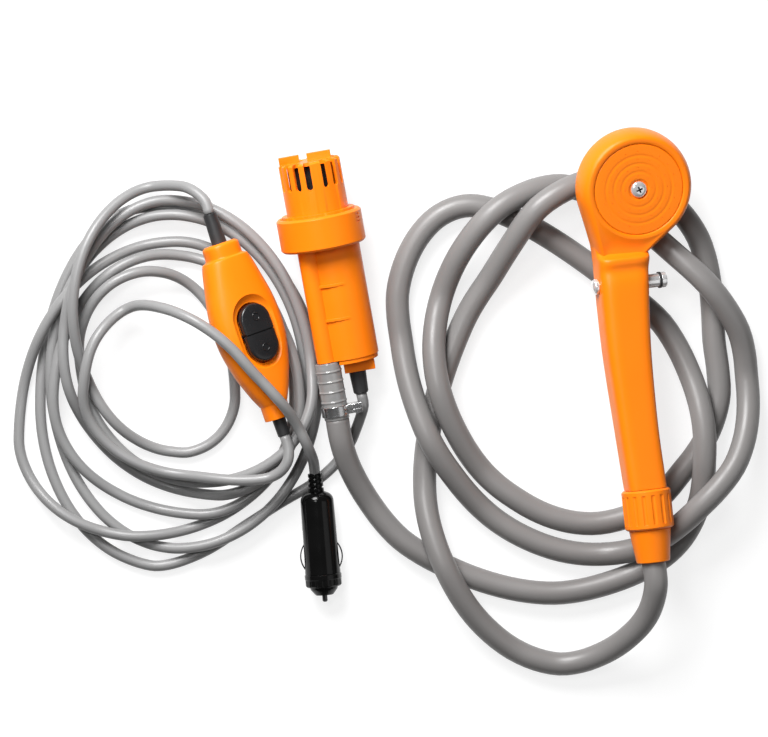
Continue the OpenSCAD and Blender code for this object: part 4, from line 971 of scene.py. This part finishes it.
def makeRocker(spec, shell):
    back = switchPlace.inverted()
    top = max((back @ v.co).z for v in nodes["rocker"].data.vertices) - spec["markHigh"]
    middle = switchPlace @ Matrix.Translation((0, shell["rockerY"], 0))
    surface = middle @ Matrix.Translation((0, 0, top))
    levels = [(top - low, -spec["slack"] - inward) for low, inward in spec["dome"]]
    shape = bmesh.new()
    stadiumInto(shape, shell["rockerLen"], shell["rockerW"], levels)
    bmesh.ops.transform(shape, matrix=middle, verts=shape.verts)
    piece = finishPiece("rockerCap", shape, ["rocker"], "black_plastic", spec["sharp"], weighted=False)
    cutWith(piece, rockerCutters(spec, shell, surface))
    marks = bmesh.new()
    marks.from_mesh(piece.data)
    r, wide, high = spec["markR"], spec["markWide"], spec["markHigh"]
    ring = [(r - wide, -high), (r - wide / 2, high / 2), (r, high), (r + wide / 2, high / 2),
            (r + wide, -high)]
    for along in (-spec["markAt"], spec["markAt"]):
        spinInto(marks, ring + ring[:1], surface @ Matrix.Translation((0, along, 0)), spec["markSides"])
    smoothFaces(marks)
    marks.to_mesh(piece.data)
    marks.free()
    sharpen(piece, spec["sharp"])
    return piece


upperShell = makeShell("switchUpperShell", "switch_upper", 1, shellSpec)
lowerShell = makeShell("switchLowerShell", "switch_lower", -1, shellSpec)
rockerPiece = makeRocker(rockerSpec, shellSpec)
print("switch made")


# valve spool: the solid with a domed button on its left end
spoolSpec = {
    "along": 0.153, "up": 0.001, "edge": 0.0002, "sharp": 35, "sides": 48,
    "button": [  # radius, distance out, fillet
        (0, 0.0149), (0.0044, 0.0149, 0.0003), (0.0044, 0.0170, 0.0016), (0.0022, 0.0181, 0.0012),
        (0, 0.0182)],
}


def makeSpool(spec):
    piece = softCopy("valveSpool", "valve_spool", "chrome", spec["edge"])
    shape = bmesh.new()
    shape.from_mesh(piece.data)
    place = handsetPlace @ Matrix.Translation((0, spec["along"], spec["up"])) @ turn("Y", -90)
    spinInto(shape, roundCorners(spec["button"]), place, spec["sides"])
    smoothFaces(shape)
    shape.to_mesh(piece.data)
    shape.free()
    sharpen(piece, spec["sharp"])


makeSpool(spoolSpec)


# plug's springs: short dark bows that stand out of their slots, and the one behind the tip
bowSpec = {"foot": 0.0435, "share": 0.68}


def makeBow(name, node, spec):
    shape = bmesh.new()
    shape.from_mesh(nodes[node].data)
    foot = plugPlace @ Matrix.Translation((0, 0, spec["foot"]))
    squeeze = foot @ Matrix.Diagonal((1, 1, spec["share"], 1)) @ foot.inverted()
    bmesh.ops.transform(shape, matrix=squeeze, verts=shape.verts)
    piece = finishPiece(name, shape, [node], "chrome")
    paint(piece, "dark_steel_and_shade")
    return piece


def shortenSpring():  # the spring behind the tip gets a mesh of its own
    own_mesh(nodes["tip_spring"])


leftBow = makeBow("leftBow", "side_contact_left", bowSpec)
rightBow = makeBow("rightBow", "side_contact_right", bowSpec)
shortenSpring()
print("spool and plug springs made")


# the other rigid pieces keep their solids' shape, with edges rounded as moulded or turned
softPieces = [  # name, solid, finish, edge radius
    ("pumpBody", "motor_body", "orange", 0.0006), ("pumpEndCap", "end_cap", "orange", 0.0008),
    ("pumpCollar", "collar", "orange", 0.0004), ("strainerCage", "strainer_cage", "orange", 0.0003),
    ("pumpGland", "pump_gland", "black_rubber", 0.0003), ("clampBand", "clamp_band", "steel", 0.0002),
    ("clampHousing", "clamp_housing", "steel", 0.0005), ("clampScrew", "clamp_screw", "steel", 0.0002),
    ("couplingNut", "coupling_nut", "orange", 0.0003), ("hoseSleeve", "hose_sleeve", "orange", 0.0005),
    ("upperRelief", "upper_relief", "black_rubber", 0.0003),
    ("lowerRelief", "lower_relief", "black_rubber", 0.0003),
    ("plugBody", "plug_body", "black_plastic", 0.0004),
    ("plugRelief", "plug_relief", "black_rubber", 0.0002),
    ("plugNose", "nose_ring", "black_plastic", 0.0003), ("plugTip", "tip_contact", "steel", 0.0002),
]
rounded = {node: softCopy(name, node, finish, width) for name, node, finish, width in softPieces}
for node in ("plug_body", "plug_relief", "nose_ring"):
    paint(rounded[node], "black_gloss")
# the tip contact takes the darker steel as painted shade, for the shadow it sits in
paint(rounded["tip_contact"], "dark_steel_and_shade")
print("edges rounded on", len(rounded), "pieces")


# the cords and what is on them
onSwitch = [upperShell, lowerShell, rockerPiece] + [rounded[n] for n in ("upper_relief", "lower_relief")]
onSwitch += [nodes[n] for n in ("rocker_pin", "switch_base", "terminals", "switch_screws")]
onPlug = [rounded[n] for n in ("plug_body", "plug_relief", "nose_ring", "tip_contact")]
onPlug += [leftBow, rightBow] + [nodes[n] for n in ("tip_spring", "fuse")]
declareCord(hoseLine)
declareCord(pumpCableLine)
declareCord(plugCableLine)


# white floor and soft studio light
lightSpec = {
    "key": {"at": (-0.40, 0.82, 0.78), "aim": (-0.05, 0.0, 0.0), "size": 0.6, "power": 25.0},
    "fill": {"at": (-0.38, 0.32, 1.50), "aim": (0.0, 0.0, 0.0), "size": 0.4, "power": 5.0},
    "side": {"at": (0.75, -0.35, 0.80), "aim": (0.0, 0.0, 0.0), "size": 0.8, "power": 1.2},
    "world": 0.10, "floorSize": 4, "floorColour": (0.27, 0.27, 0.27), "floorRough": 0.9, "floorGlow": 0.80,
}


def makeLamp(name, spec):
    data = bpy.data.lights.new(name, "AREA")
    data.size = spec["size"]
    data.energy = spec["power"]
    lamp = bpy.data.objects.new(name, data)
    bpy.context.scene.collection.objects.link(lamp)
    lamp.location = spec["at"]
    lamp.rotation_euler = (Vector(spec["aim"]) - lamp.location).to_track_quat("-Z", "Y").to_euler()


def makeFloor(spec):
    shape = bmesh.new()
    bmesh.ops.create_grid(shape, x_segments=1, y_segments=1, size=spec["floorSize"])
    floor = makeObject("studioFloor", shape)
    material, wire, shader = startMaterial("floorWhite", Base_Color=(*spec["floorColour"], 1),
                                           Roughness=spec["floorRough"], Specular_IOR_Level=0.0)
    ray = wire.add("LightPath")
    rays = ray.socket.node.outputs
    seen = ray + Wire(wire.tree, rays["Is Glossy Ray"]) + Wire(wire.tree, rays["Is Transmission Ray"])
    glow = wire.add("Emission", None, {"Color": (1, 1, 1, 1), "Strength": seen * spec["floorGlow"]})
    lit = wire.add("AddShader", None, {0: Wire(wire.tree, shader.outputs[0]), 1: glow})
    wire.tree.links.new(lit.socket, wire.tree.nodes["Material Output"].inputs["Surface"])
    floor.data.materials.append(material)


def makeWorld(level):
    world = bpy.data.worlds.new("studioWorld")
    bpy.context.scene.world = world
    world.use_nodes = True
    backdrop = world.node_tree.nodes["Background"]
    backdrop.inputs["Color"].default_value = (1, 1, 1, 1)
    backdrop.inputs["Strength"].default_value = level


makeLamp("keyLamp", lightSpec["key"])
makeLamp("fillLamp", lightSpec["fill"])
makeLamp("sideLamp", lightSpec["side"])
makeFloor(lightSpec)
makeWorld(lightSpec["world"])
bpy.context.scene.view_settings.view_transform = "Standard"
print("studio set")
